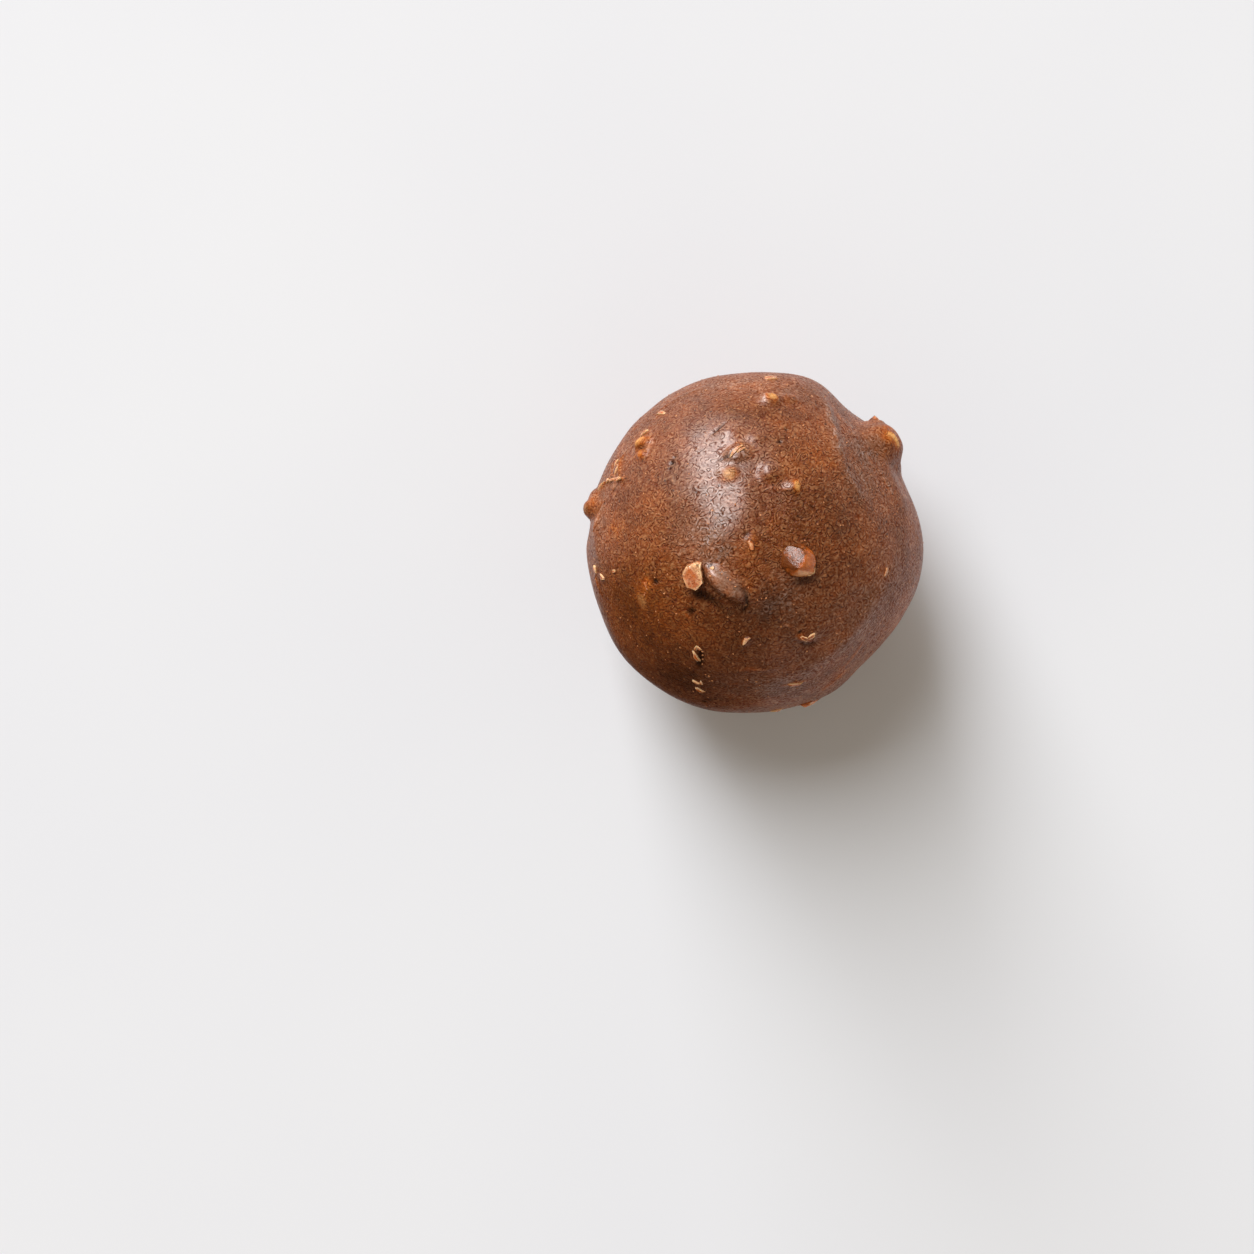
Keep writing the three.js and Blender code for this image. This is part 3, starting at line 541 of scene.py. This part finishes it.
class Nodes:
    """Adds nodes to a material's or a group's tree, from left to right."""

    def __init__(self, tree):
        self.tree = tree
        self.column = 0

    def add(self, kind, inputs=None, **settings):
        node = self.tree.nodes.new(kind)
        node.location = (self.column * 180, 0)
        self.column += 1
        for name, value in settings.items():
            setattr(node, name, value)
        self.feed(node, inputs or {})
        return node

    def feed(self, node, inputs):
        """Gives each named input of a node its value, or the socket that it follows."""
        for name, value in inputs.items():
            if isinstance(value, bpy.types.NodeSocket):
                self.tree.links.new(value, node.inputs[name])
            else:
                node.inputs[name].default_value = value

    def math(self, operation, a, b=0.0, clamp=False):
        return self.add("ShaderNodeMath", {0: a, 1: b}, operation=operation, use_clamp=clamp).outputs[0]

    def times(self, a, b, clamp=False):
        return self.math("MULTIPLY", a, b, clamp)

    def mix(self, share, a, b, blend="MIX"):
        node = self.add("ShaderNodeMix", data_type="RGBA", blend_type=blend)
        self.feed(node, {0: share, 6: a, 7: b})
        return node.outputs[2]

    def spread(self, value, low, high, to_low=0.0, to_high=1.0):
        """Maps low to high onto another range, and stops at its ends."""
        return self.add("ShaderNodeMapRange", {0: value, 1: low, 2: high, 3: to_low, 4: to_high}).outputs[0]

    def noise(self, vector, scale, detail=2.0, roughness=0.5, distortion=0.0):
        return self.add("ShaderNodeTexNoise", {
            "Vector": vector, "Scale": scale, "Detail": detail, "Roughness": roughness,
            "Distortion": distortion}).outputs["Fac"]

    def bump(self, height):
        return self.add("ShaderNodeBump", {
            "Height": height, "Strength": 1.0, "Distance": CREASE_DEPTH * MM}).outputs[0]

    def attribute(self, name):
        return self.add("ShaderNodeAttribute", attribute_name=name).outputs["Fac"]

    def group(self, tree, **inputs):
        """What a node group gives for these inputs: its only output, or all of them by name."""
        node = self.add("ShaderNodeGroup", node_tree=tree)
        self.feed(node, inputs)
        return node.outputs[0] if len(node.outputs) == 1 else node.outputs


def new_group(name, inputs, outputs):
    """The nodes of an empty shader node group, and what its named inputs are given."""
    tree = bpy.data.node_groups.new(name, "ShaderNodeTree")
    kinds = {"vector": "NodeSocketVector", "value": "NodeSocketFloat", "colour": "NodeSocketColor"}
    for socket, kind in inputs.items():
        tree.interface.new_socket(socket, in_out="INPUT", socket_type=kinds[kind])
    for socket, kind in outputs.items():
        tree.interface.new_socket(socket, in_out="OUTPUT", socket_type=kinds[kind])
    nodes = Nodes(tree)
    return nodes, nodes.add("NodeGroupInput").outputs


def close_group(nodes, results):
    nodes.add("NodeGroupOutput", results)
    return nodes.tree


def crinkle_group():
    """Fine worm-like creases that set chocolate has, in short runs. Gives the height, a mask of the creases,
    and what the colour follows: a random mottle with painted shade in each crease and painted light on each
    ridge top, from -1 in a crease to 1 on a ridge top."""
    nodes, given = new_group(
        "crinkled_skin", {"Place": "vector", "Crinkle": "value", "Grain": "value"},
        {"Height": "value", "Creases": "value", "Relief": "value"})
    folds = nodes.noise(given["Place"], CREASE_RUNS, 1.0, 0.4)
    waves = nodes.math("ABSOLUTE", nodes.math("SINE", nodes.times(folds, CREASE_TURNS)))
    runs = nodes.spread(nodes.noise(given["Place"], 2.6, 1.0), 0.38, 0.56)
    creases = nodes.times(nodes.spread(waves, 0.0, 0.7, 1.0, 0.0), runs)
    creases = nodes.times(creases, given["Crinkle"])
    lumps = nodes.times(nodes.noise(given["Place"], 4.6, 0.0, 0.5, 0.5), given["Crinkle"])
    grain = nodes.times(nodes.noise(given["Place"], 9.0, 1.0, 0.6), given["Grain"])
    height = nodes.math("SUBTRACT", nodes.math("ADD", nodes.times(lumps, 1.5), grain), creases)
    mottle = nodes.spread(nodes.noise(given["Place"], 5.4, 2.0, 0.65), 0.34, 0.66, -0.55, 0.55)
    # Painted light on ridge tops and painted shade in creases.
    ridge_and_crease_shading = nodes.times(nodes.spread(waves, 0.0, 1.0, -1.2, 1.1), runs)
    mottle_and_shading = nodes.math("ADD", mottle, nodes.times(ridge_and_crease_shading, given["Crinkle"]))
    return close_group(nodes, {"Height": height, "Creases": creases, "Relief": mottle_and_shading})


def speck_group():
    """A mask of small round specks of uneven size, with most of the places left empty."""
    nodes, given = new_group(
        "specks", {"Place": "vector", "Scale": "value", "Size": "value"}, {"Mask": "value"})
    cells = nodes.add("ShaderNodeTexVoronoi", {"Vector": given["Place"], "Scale": given["Scale"]})
    which = nodes.add("ShaderNodeSeparateColor", {0: cells.outputs["Color"]}).outputs[0]
    size = nodes.times(given["Size"], nodes.spread(which, 0.45, 1.0, -0.2, 1.0))
    mask = nodes.spread(nodes.math("SUBTRACT", size, cells.outputs["Distance"]), 0.0, 0.05)
    return close_group(nodes, {"Mask": mask})


def chocolate_group(specks):
    """The colour of milk chocolate: even brown, mottled, orange where a nut shows through, matt and greyer in
    places as grey fat on its surface and as painted sheen, lighter or darker by patches of its own and by
    painted light and shade, lighter on each ridge top and darker in each crease as painted light and shade,
    with light and dark specks."""
    nodes, given = new_group(
        "milk_chocolate",
        {"Place": "vector", "Film": "value", "Bloom": "value", "Tone": "value", "Relief": "value"},
        {"Colour": "colour"})
    slow = nodes.spread(nodes.noise(given["Place"], 0.28, 3.0, 0.6, 0.4), 0.36, 0.64)
    colour = nodes.mix(slow, CHOCOLATE_DARK, CHOCOLATE_LIGHT)
    patchy = nodes.spread(nodes.noise(given["Place"], 0.9, 3.0, 0.65, 0.5), 0.38, 0.62, 0.5, 1.35)
    colour = nodes.mix(nodes.times(given["Film"], patchy, clamp=True), colour, CHOCOLATE_THIN)
    colour = nodes.mix(nodes.spread(given["Film"], 1.0, 2.0), colour, NUT_GOLD)
    # Matt grey: grey fat on the surface, and painted sheen.
    bloom_and_sheen_share = nodes.times(given["Bloom"], nodes.spread(
        nodes.noise(given["Place"], 0.8, 3.0, 0.6), 0.3, 0.6), clamp=True)
    colour = nodes.mix(bloom_and_sheen_share, colour, CHOCOLATE_BLOOM_AND_SHEEN)
    cloudy = nodes.spread(nodes.noise(given["Place"], 0.7, 4.0, 0.7, 0.3), 0.34, 0.66, 0.84, 1.15)
    # Lighter or darker: patches of its own, and painted light and shade.
    toned_and_shaded = nodes.times(cloudy, nodes.spread(given["Tone"], -1.0, 1.0, 0.15, 1.85))
    # Lighter on ridge tops and darker in creases: painted light and shade.
    shades = [nodes.times(toned_and_shaded, nodes.math("POWER", ridge_light, given["Relief"]))
              for ridge_light in RIDGE_LIGHT_CREASE_SHADE]
    shade = nodes.add("ShaderNodeCombineColor", dict(enumerate(shades))).outputs[0]
    colour = nodes.mix(1.0, colour, shade, "MULTIPLY")
    for scale, size, tint, share in ((1.9, 0.26, SPECK_LIGHT, 0.3), (1.0, 0.15, SPECK_LIGHT, 0.7),
                                     (1.5, 0.24, SPECK_DARK, 0.7)):
        spots = nodes.group(specks, Place=given["Place"], Scale=scale, Size=size)
        colour = nodes.mix(nodes.times(spots, share), colour, tint)
    return close_group(nodes, {"Colour": colour})


CRINKLE = crinkle_group()
SPECKS = speck_group()
CHOCOLATE = chocolate_group(SPECKS)


def new_material(name):
    """A material, its nodes, its shader, and the place on the piece in millimetres."""
    material = bpy.data.materials.new(name)
    material.use_nodes = True
    nodes = Nodes(material.node_tree)
    shader = material.node_tree.nodes["Principled BSDF"]
    coordinates = nodes.add("ShaderNodeTexCoord").outputs["Object"]
    place = nodes.add("ShaderNodeVectorMath", {0: coordinates, "Scale": 1 / MM}, operation="SCALE")
    return material, nodes, shader, place.outputs[0]


def coating_material():
    material, nodes, shader, place = new_material("milk_chocolate_coating")
    film = nodes.attribute("film")
    bloom_and_sheen = nodes.attribute("bloom_and_sheen")
    tone_and_shading = nodes.attribute("tone_and_shading")
    crinkle = nodes.attribute("crinkle")
    dry = nodes.attribute("dry")
    sheen = nodes.attribute("sheen")
    skin = nodes.group(CRINKLE, Place=place, Crinkle=crinkle, Grain=0.35)
    # Mottle with painted crease shade and ridge light, weaker where a nut shows through.
    mottle_and_shading = nodes.times(skin["Relief"], nodes.spread(film, 0.5, 1.5, 1.0, 0.3))
    colour = nodes.group(CHOCOLATE, Place=place, Film=film, Bloom=bloom_and_sheen, Tone=tone_and_shading, Relief=mottle_and_shading)
    worn = nodes.spread(nodes.noise(place, 1.3, 3.0, 0.6), 0.3, 0.7, 0.2, 0.34)
    rough = nodes.math("ADD", worn, nodes.times(dry, 0.12))
    rough = nodes.math("ADD", rough, nodes.times(skin["Creases"], 0.2))
    satin = nodes.times(nodes.spread(skin["Relief"], -0.7, 1.0, 0.0, 0.5),
                        nodes.spread(film, 0.0, 1.0, 1.0, 0.1))
    satin = nodes.times(satin, nodes.spread(tone_and_shading, -1.0, -0.3, 0.1, 1.0))
    silky = nodes.times(sheen, nodes.math("SUBTRACT", 1.0, skin["Creases"]))
    silky = nodes.math("ADD", silky, satin, clamp=True)
    nodes.feed(shader, {
        "Base Color": colour, "Roughness": rough, "Specular IOR Level": 0.1, "Coat Weight": silky,
        "Coat Roughness": 0.36, "Coat IOR": 1.7, "Normal": nodes.bump(skin["Height"])})
    return material


def nut_material():
    material, nodes, shader, place = new_material("chopped_hazelnut")
    coat = nodes.attribute("coat")
    rim_glow = nodes.attribute("rim_glow")
    toast = nodes.attribute("toast")
    uneven = nodes.spread(nodes.noise(place, 1.8, 3.0, 0.6, 0.6), 0.3, 0.7, -0.35, 0.35)
    toast = nodes.math("ADD", toast, uneven, clamp=True)
    colour = nodes.mix(nodes.spread(toast, 0.0, 0.5), NUT_PALE, NUT_TAN)
    colour = nodes.mix(nodes.spread(toast, 0.5, 1.0), colour, NUT_ORANGE)
    veins = nodes.spread(nodes.noise(place, 2.6, 4.0, 0.65, 1.5), 0.49, 0.6)
    colour = nodes.mix(nodes.times(veins, 0.85), colour, NUT_SKIN)
    # Uncoated edges painted pale: a painted glow and highlight of thin cut edges.
    rim_glow_share = nodes.times(rim_glow, nodes.spread(toast, 0.3, 1.0, 0.95, 0.45))
    colour = nodes.mix(rim_glow_share, colour, NUT_PALE)
    skin = nodes.group(CRINKLE, Place=place, Crinkle=0.12, Grain=0.3)
    chocolate = nodes.group(CHOCOLATE, Place=place, Film=0.2, Bloom=0.0, Tone=-0.45,
                            Relief=nodes.times(skin["Relief"], 0.5))
    broken = nodes.spread(nodes.noise(place, 2.6, 3.0, 0.65), 0.3, 0.7, -0.25, 0.25)
    coat = nodes.math("ADD", coat, nodes.times(broken, nodes.spread(coat, 0.0, 0.4)), clamp=True)
    colour = nodes.mix(nodes.spread(coat, 0.05, 0.5, 0.0, 0.85), colour, CHOCOLATE_THIN)
    colour = nodes.mix(nodes.spread(coat, 0.6, 0.95), colour, chocolate)
    rough = nodes.spread(nodes.noise(place, 2.5, 2.0), 0.3, 0.7, 0.18, 0.3)
    nodes.feed(shader, {
        "Base Color": colour, "Roughness": rough, "Specular IOR Level": 0.5,
        "Subsurface Weight": 0.2, "Subsurface Radius": (1.0, 0.5, 0.25), "Subsurface Scale": 0.4 * MM,
        "Normal": nodes.bump(skin["Height"])})
    return material


def crumb_material():
    material, nodes, shader, place = new_material("nut_crumb")
    which = nodes.spread(nodes.noise(place, 0.9, 1.0), 0.4, 0.6)
    nodes.feed(shader, {"Base Color": nodes.mix(which, SPECK_LIGHT, CRUMB_TAN), "Roughness": 0.4})
    return material


def table_material():
    material, nodes, shader, place = new_material("pale_table")
    slow = nodes.spread(nodes.noise(place, 0.02, 2.0), 0.3, 0.7)
    colour = nodes.mix(slow, rgb(223, 224, 228), rgb(226, 227, 230))
    nodes.feed(shader, {"Base Color": colour, "Roughness": 0.6, "Specular IOR Level": 0.0})
    return material


# ---------------------------------------------------------------- pieces

def finish_piece(name, bm, material, values=None):
    """Turns a shape in millimetres into a smooth-shaded piece in metres with its values on each vertex."""
    bmesh.ops.scale(bm, vec=(MM, MM, MM), verts=bm.verts)
    mesh = bpy.data.meshes.new(name)
    bm.to_mesh(mesh)
    bm.free()
    for face in mesh.polygons:
        face.use_smooth = True
    for key, numbers in (values or {}).items():
        layer = mesh.attributes.new(key, "FLOAT", "POINT")
        layer.data.foreach_set("value", np.asarray(numbers, dtype=np.float32))
    mesh.materials.append(material)
    piece = bpy.data.objects.new(name, mesh)
    bpy.context.scene.collection.objects.link(piece)
    return piece


def make_coating():
    """The skin: a cube cut into a fine grid, blown up to a ball and shaped."""
    bm = bmesh.new()
    bmesh.ops.create_cube(bm, size=2)
    bmesh.ops.subdivide_edges(bm, edges=bm.edges[:], cuts=SKIN_CUTS, use_grid_fill=True)
    points = np.array([v.co[:] for v in bm.verts])
    directions = np.tan(points * (math.pi / 4))  # evens out the cells of the grid
    directions /= np.linalg.norm(directions, axis=1, keepdims=True)
    directions[:, 2] += SKIN_LIFT
    directions /= np.linalg.norm(directions, axis=1, keepdims=True)
    radius = skin_radius(directions)
    places = CENTRE + directions * radius[:, None]
    for v, place in zip(bm.verts, places):
        v.co = place
    shares = [(m, share_of(m, directions)) for m in COVERED_NUTS + STAINS + PITS]
    shares += [(c, share_of_crest(c, directions)) for c in CRESTS + LINES]
    # The second sum carries painted sheen as well as matt grey, and the third painted light and shade as well
    # as the chocolate's own patches.
    film, bloom_and_sheen, tone_and_shading = (sum(spec[key] * share for spec, share in shares)
                         for key in ("film", "bloom_and_sheen", "tone_and_shading"))
    crinkle = 0.75 + 0.25 * share_of(mound(above(-0.5, 2), 25, 25, 1, 0, 2), directions)
    crinkle *= 1 - 0.8 * share_of(LUMP_BACK_PAINTED_LIGHT, directions)
    dry = 1 - share_of(mound(above(-3, 5), 24, 26, 1, 0, 2), directions)
    sheen = sum(m["height"] * share_of(m, directions) for m in SILKY_PLACES)
    sheen = np.clip(sheen, 0, 1) * (1 - 0.5 * np.clip(film, 0, 1)) * (1 - 0.8 * np.clip(-tone_and_shading, 0, 1))
    values = {"film": np.clip(film, 0, 2), "bloom_and_sheen": np.clip(bloom_and_sheen, 0, 1), "tone_and_shading": np.clip(tone_and_shading, -1, 1),
              "crinkle": crinkle, "dry": dry, "sheen": sheen}
    return finish_piece("coating", bm, coating_material(), values)


def place_in_skin(spec, depth):
    """The matrix that takes a shape made about its own middle, +Z outwards, to its place in the skin."""
    at = spec["at"]
    along, across = axes_at(at, spec["turn"])
    origin = CENTRE + at * (skin_radius(at)[0] - depth)
    return Matrix(((along[0], across[0], at[0], origin[0]),
                   (along[1], across[1], at[1], origin[1]),
                   (along[2], across[2], at[2], origin[2]),
                   (0, 0, 0, 1)))


def cut_flat(bm, normal, distance):
    """Cuts off what lies past a plane and closes the cut."""
    everything = bm.verts[:] + bm.edges[:] + bm.faces[:]
    bmesh.ops.bisect_plane(bm, geom=everything, plane_co=normal * distance, plane_no=normal,
                           clear_outer=True)
    bmesh.ops.holes_fill(bm, edges=bm.edges[:], sides=0)


def random_cuts(spec, rng):
    """The planes of a chopped piece that has no cut faces of its own, as outward directions and distances."""
    size = Vector((spec["length"], spec["width"], spec["height"]))
    cuts = []
    for _ in range(RANDOM_CUTS):
        normal = Vector((rng.gauss(0, 1), rng.gauss(0, 1), rng.gauss(0, 1))).normalized()
        distance = rng.uniform(0.38, 0.52)
        normal = Vector((normal.x / size.x, normal.y / size.y, normal.z / size.z))
        cuts.append((normal.normalized(), distance / normal.length))
    return cuts


def given_cuts(spec):
    """The planes of a chopped piece's own cut faces, which slope outwards from its flat top."""
    top = spec["height"] / 2
    cuts = [(Vector((0, 0, 1)), top)]
    for heading, distance, slope in spec["sides"]:
        normal = Vector(facing(heading, slope))
        cuts.append((normal, distance * math.cos(math.radians(slope)) + top * normal.z))
    return cuts


def chopped_piece(spec, cuts):
    """A chopped nut piece: a block with its sides cut off flat and its edges a little rounded. One with cut
    faces of its own starts from a block with room for them."""
    bm = bmesh.new()
    bmesh.ops.create_cube(bm, size=1)
    room = 2.2 if spec["sides"] else 1
    size = Vector((spec["length"] * room, spec["width"] * room, spec["height"]))
    bmesh.ops.scale(bm, vec=size, verts=bm.verts)
    for normal, distance in cuts:
        if distance < spec["height"] / 2 - 1e-4 or normal.z < 0.999:
            cut_flat(bm, normal, distance)
    smallest = min(spec["length"], spec["width"], spec["height"])
    bmesh.ops.bevel(bm, geom=bm.edges[:], offset=spec["softness"] * smallest, offset_type="OFFSET",
                    segments=2, profile=0.5, affect="EDGES", clamp_overlap=True, material=-1)
    bmesh.ops.triangulate(bm, faces=bm.faces[:])
    bmesh.ops.subdivide_edges(bm, edges=bm.edges[:], cuts=5 if spec["sides"] else 2, use_grid_fill=True)
    if spec["softness"] > SHARP_EDGES:
        reach = sum(v.co.length for v in bm.verts) / len(bm.verts)
        for v in bm.verts:
            v.co *= (reach / v.co.length) ** ROUNDING
    bmesh.ops.recalc_face_normals(bm, faces=bm.faces[:])
    return bm


def ramp(value, start, end):
    """0 up to the start, 1 from the end on, and an even rise between them."""
    return min(max((value - start) / (end - start), 0), 1)


def painted(recipe, point, blur=0.12):
    """A recipe's value at a point: its first value, changed past a distance along each heading."""
    value = recipe[0]
    for heading, distance, change in recipe[1:]:
        out = point.x * math.cos(math.radians(heading)) + point.y * math.sin(math.radians(heading))
        value += change * ramp(out, distance - blur, distance + blur)
    return min(max(value, 0), 1)


def join_pieces(joined, bm):
    part = bpy.data.meshes.new("part")
    bm.to_mesh(part)
    joined.from_mesh(part)
    bpy.data.meshes.remove(part)
    bm.free()


def make_chunks():
    rng = random.Random(7)
    joined = bmesh.new()
    coat, rim_glow, toast = [], [], []
    for spec in CHUNKS:
        cuts = given_cuts(spec) if spec["sides"] else random_cuts(spec, rng)
        bm = chopped_piece(spec, cuts)
        skin_level = spec["height"] / 2 - spec["stands_out"]
        for v in bm.verts:
            depths = sorted(distance - normal.dot(v.co) for normal, distance in cuts)
            # Each edge of the cut faces gets a painted glow and highlight.
            edge = 1 - ramp(depths[1], 0.03, 0.16)
            wobble = min(0.12, 0.25 * spec["stands_out"]) * noise.noise(v.co * 2.5 + Vector(spec["at"]) * 5)
            sunk = 1 - ramp(v.co.z - skin_level + wobble, 0.0, min(0.16, 0.3 * spec["stands_out"]))
            coating = max(painted(spec["coat"], v.co), sunk)
            coat.append(coating)
            rim_glow.append(edge * (1 - ramp(coating, 0.1, 0.5)))
            toast.append(painted(spec["toast"], v.co))
        for v in bm.verts:
            v.co += v.normal * 0.05 * noise.noise(v.co * 2.2 + Vector(spec["at"]) * 9)
        bmesh.ops.transform(bm, matrix=place_in_skin(spec, skin_level), verts=bm.verts)
        join_pieces(joined, bm)
    return finish_piece("nut_chunks", joined, nut_material(), {"coat": coat, "rim_glow": rim_glow, "toast": toast})


def make_flakes():
    """Thin curled plates with a ragged edge painted light as a painted glow and highlight, tipped up at one
    end.
    """
    joined = bmesh.new()
    coat, rim_glow, toast = [], [], []
    for spec in FLAKES:
        bm = bmesh.new()
        bmesh.ops.create_cube(bm, size=1)
        bmesh.ops.subdivide_edges(bm, edges=bm.edges[:], cuts=9, use_grid_fill=True)
        for v in bm.verts:
            out = max(abs(v.co.x), abs(v.co.y)) * 2
            rim_glow.append(ramp(out, 0.55, 0.95))
            coat.append(spec["coat"] * (1 - ramp(out, 0.6, 1)))
            toast.append(0.35 + (spec["toast"] - 0.35) * (1 - ramp(out, 0.5, 0.9)))
        for v in bm.verts:
            share = v.co.x * 2
            ragged = 1 + 0.3 * noise.noise(Vector((v.co.x, v.co.y, 0)) * 4 + Vector(spec["at"]) * 7)
            taper = 1 - 0.6 * abs(share) ** 3
            curl = 0.16 * spec["length"] * share ** 2
            v.co = Vector((v.co.x * spec["length"] * ragged, v.co.y * spec["width"] * taper * ragged,
                           v.co.z * spec["thickness"] - curl + 0.06))
        bmesh.ops.rotate(bm, cent=(0, 0, 0), matrix=Matrix.Rotation(-math.radians(spec["tip"]), 3, "Y"),
                         verts=bm.verts)
        bmesh.ops.transform(bm, matrix=place_in_skin(spec, 0), verts=bm.verts)
        join_pieces(joined, bm)
    return finish_piece("nut_skin_flakes", joined, nut_material(), {"coat": coat, "rim_glow": rim_glow, "toast": toast})


def make_crumbs():
    rng = random.Random(31)
    bm = bmesh.new()
    spots = [(above(x, y), rng.uniform(*LARGE_CRUMB)) for x, y in CRUMB_PLACES]
    for _ in range(SMALL_CRUMBS):
        at = unit((rng.gauss(0, 1), rng.gauss(0, 1), rng.gauss(0.25, 1)))
        spots.append((at, rng.uniform(*SMALL_CRUMB)))
    for at, radius in spots:
        spec = dict(at=at, turn=rng.uniform(0, 360))
        grain = Matrix.Diagonal((radius * rng.uniform(1, 1.6), radius, radius * 0.8, 1))
        if at[2] > -0.85:
            bmesh.ops.create_icosphere(bm, subdivisions=1, radius=1, matrix=place_in_skin(spec, 0) @ grain)
    return finish_piece("nut_crumbs", bm, crumb_material())


def make_table():
    bm = bmesh.new()
    bmesh.ops.create_grid(bm, x_segments=8, y_segments=8, size=900)
    table = finish_piece("table", bm, table_material())


def make_light():
    """A tall window on the far left, and a slightly warm room round it that is dim overhead."""
    key_heading, key_rise, key_roll, key_distance = 116, 37, -10, 2.2
    window_wide, window_tall, window_glow = 26, 66, 8.8  # the first two are angles as the truffle sees them
    room_glow, overhead_glow = 0.62, 0.15  # level with the truffle, and straight above it
    place = Vector(facing(key_heading, key_rise)) * key_distance
    lamp = bpy.data.lights.new("window", "AREA")
    lamp.shape = "RECTANGLE"
    lamp.size = 2 * key_distance * math.tan(math.radians(window_wide / 2))
    lamp.size_y = 2 * key_distance * math.tan(math.radians(window_tall / 2))
    lamp.energy = window_glow * math.pi * lamp.size * lamp.size_y
    lamp.color = (1.0, 1.02, 1.05)
    window = bpy.data.objects.new("window", lamp)
    window.location = place
    turned = (-place).to_track_quat("-Z", "Y").to_matrix() @ Matrix.Rotation(math.radians(key_roll), 3, "Z")
    window.rotation_euler = turned.to_euler()
    bpy.context.scene.collection.objects.link(window)
    world = bpy.data.worlds.new("pale_room")
    world.use_nodes = True
    nodes = Nodes(world.node_tree)
    direction = nodes.add("ShaderNodeTexCoord").outputs["Generated"]
    rise = nodes.add("ShaderNodeSeparateXYZ", {0: direction}).outputs[2]
    glow = nodes.spread(rise, 0.45, 0.9, room_glow, overhead_glow)
    nodes.feed(world.node_tree.nodes["Background"], {"Color": (1.0, 0.895, 0.745, 1), "Strength": glow})
    bpy.context.scene.world = world


def make_flag():
    """A dark upright card close to one side, which no camera sees, keeps the table's glow off that side."""
    heading, distance, half_width, height = 232, 19.5, 19.0, 42.0
    bm = bmesh.new()
    bmesh.ops.create_grid(bm, x_segments=4, y_segments=4, size=1)
    bmesh.ops.scale(bm, vec=(half_width, height / 2, 1), verts=bm.verts)
    bmesh.ops.rotate(bm, cent=(0, 0, 0), matrix=Matrix.Rotation(math.radians(90), 3, "X"), verts=bm.verts)
    turned = Matrix.Rotation(math.radians(heading - 90), 3, "Z")
    bmesh.ops.rotate(bm, cent=(0, 0, 0), matrix=turned, verts=bm.verts)
    middle = Vector(facing(heading, 0)) * distance + Vector((0, 0, height / 2 + 1))
    bmesh.ops.translate(bm, vec=middle, verts=bm.verts)
    card = bpy.data.materials.new("black_card")
    card.use_nodes = True
    Nodes(card.node_tree).feed(card.node_tree.nodes["Principled BSDF"], {
        "Base Color": (0.02, 0.014, 0.01, 1), "Roughness": 1})
    flag = finish_piece("flag", bm, card)
    flag.visible_camera = False
    flag.visible_shadow = False
    flag.visible_diffuse = False


def make_camera():
    """Straight above the table, a little to the left of and in front of the truffle."""
    aside, ahead, view_height = VIEWPOINT
    view_width = 112.0
    camera = bpy.data.cameras.new("camera")
    camera.sensor_fit = "HORIZONTAL"
    camera.sensor_width = 36
    camera.lens = 36 * view_height / view_width
    camera.clip_start = 0.01
    camera.clip_end = 10
    holder = bpy.data.objects.new("camera", camera)
    holder.location = (aside * MM, ahead * MM, (CENTRE_HEIGHT + view_height) * MM)
    bpy.context.scene.collection.objects.link(holder)
    bpy.context.scene.camera = holder


make_camera()
make_light()
make_table()
make_flag()

coating = make_coating()
chunks = make_chunks()
flakes = make_flakes()
crumbs = make_crumbs()

for piece, finish in ((coating, "chocolate"), (chunks, "nut"), (flakes, "nut"), (crumbs, "nut")):
    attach(piece, "root")
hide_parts("truffle")

scene = bpy.context.scene
scene.view_settings.view_transform = "Standard"
scene.view_settings.look = "None"
scene.view_settings.exposure = 0
scene.view_settings.gamma = 1
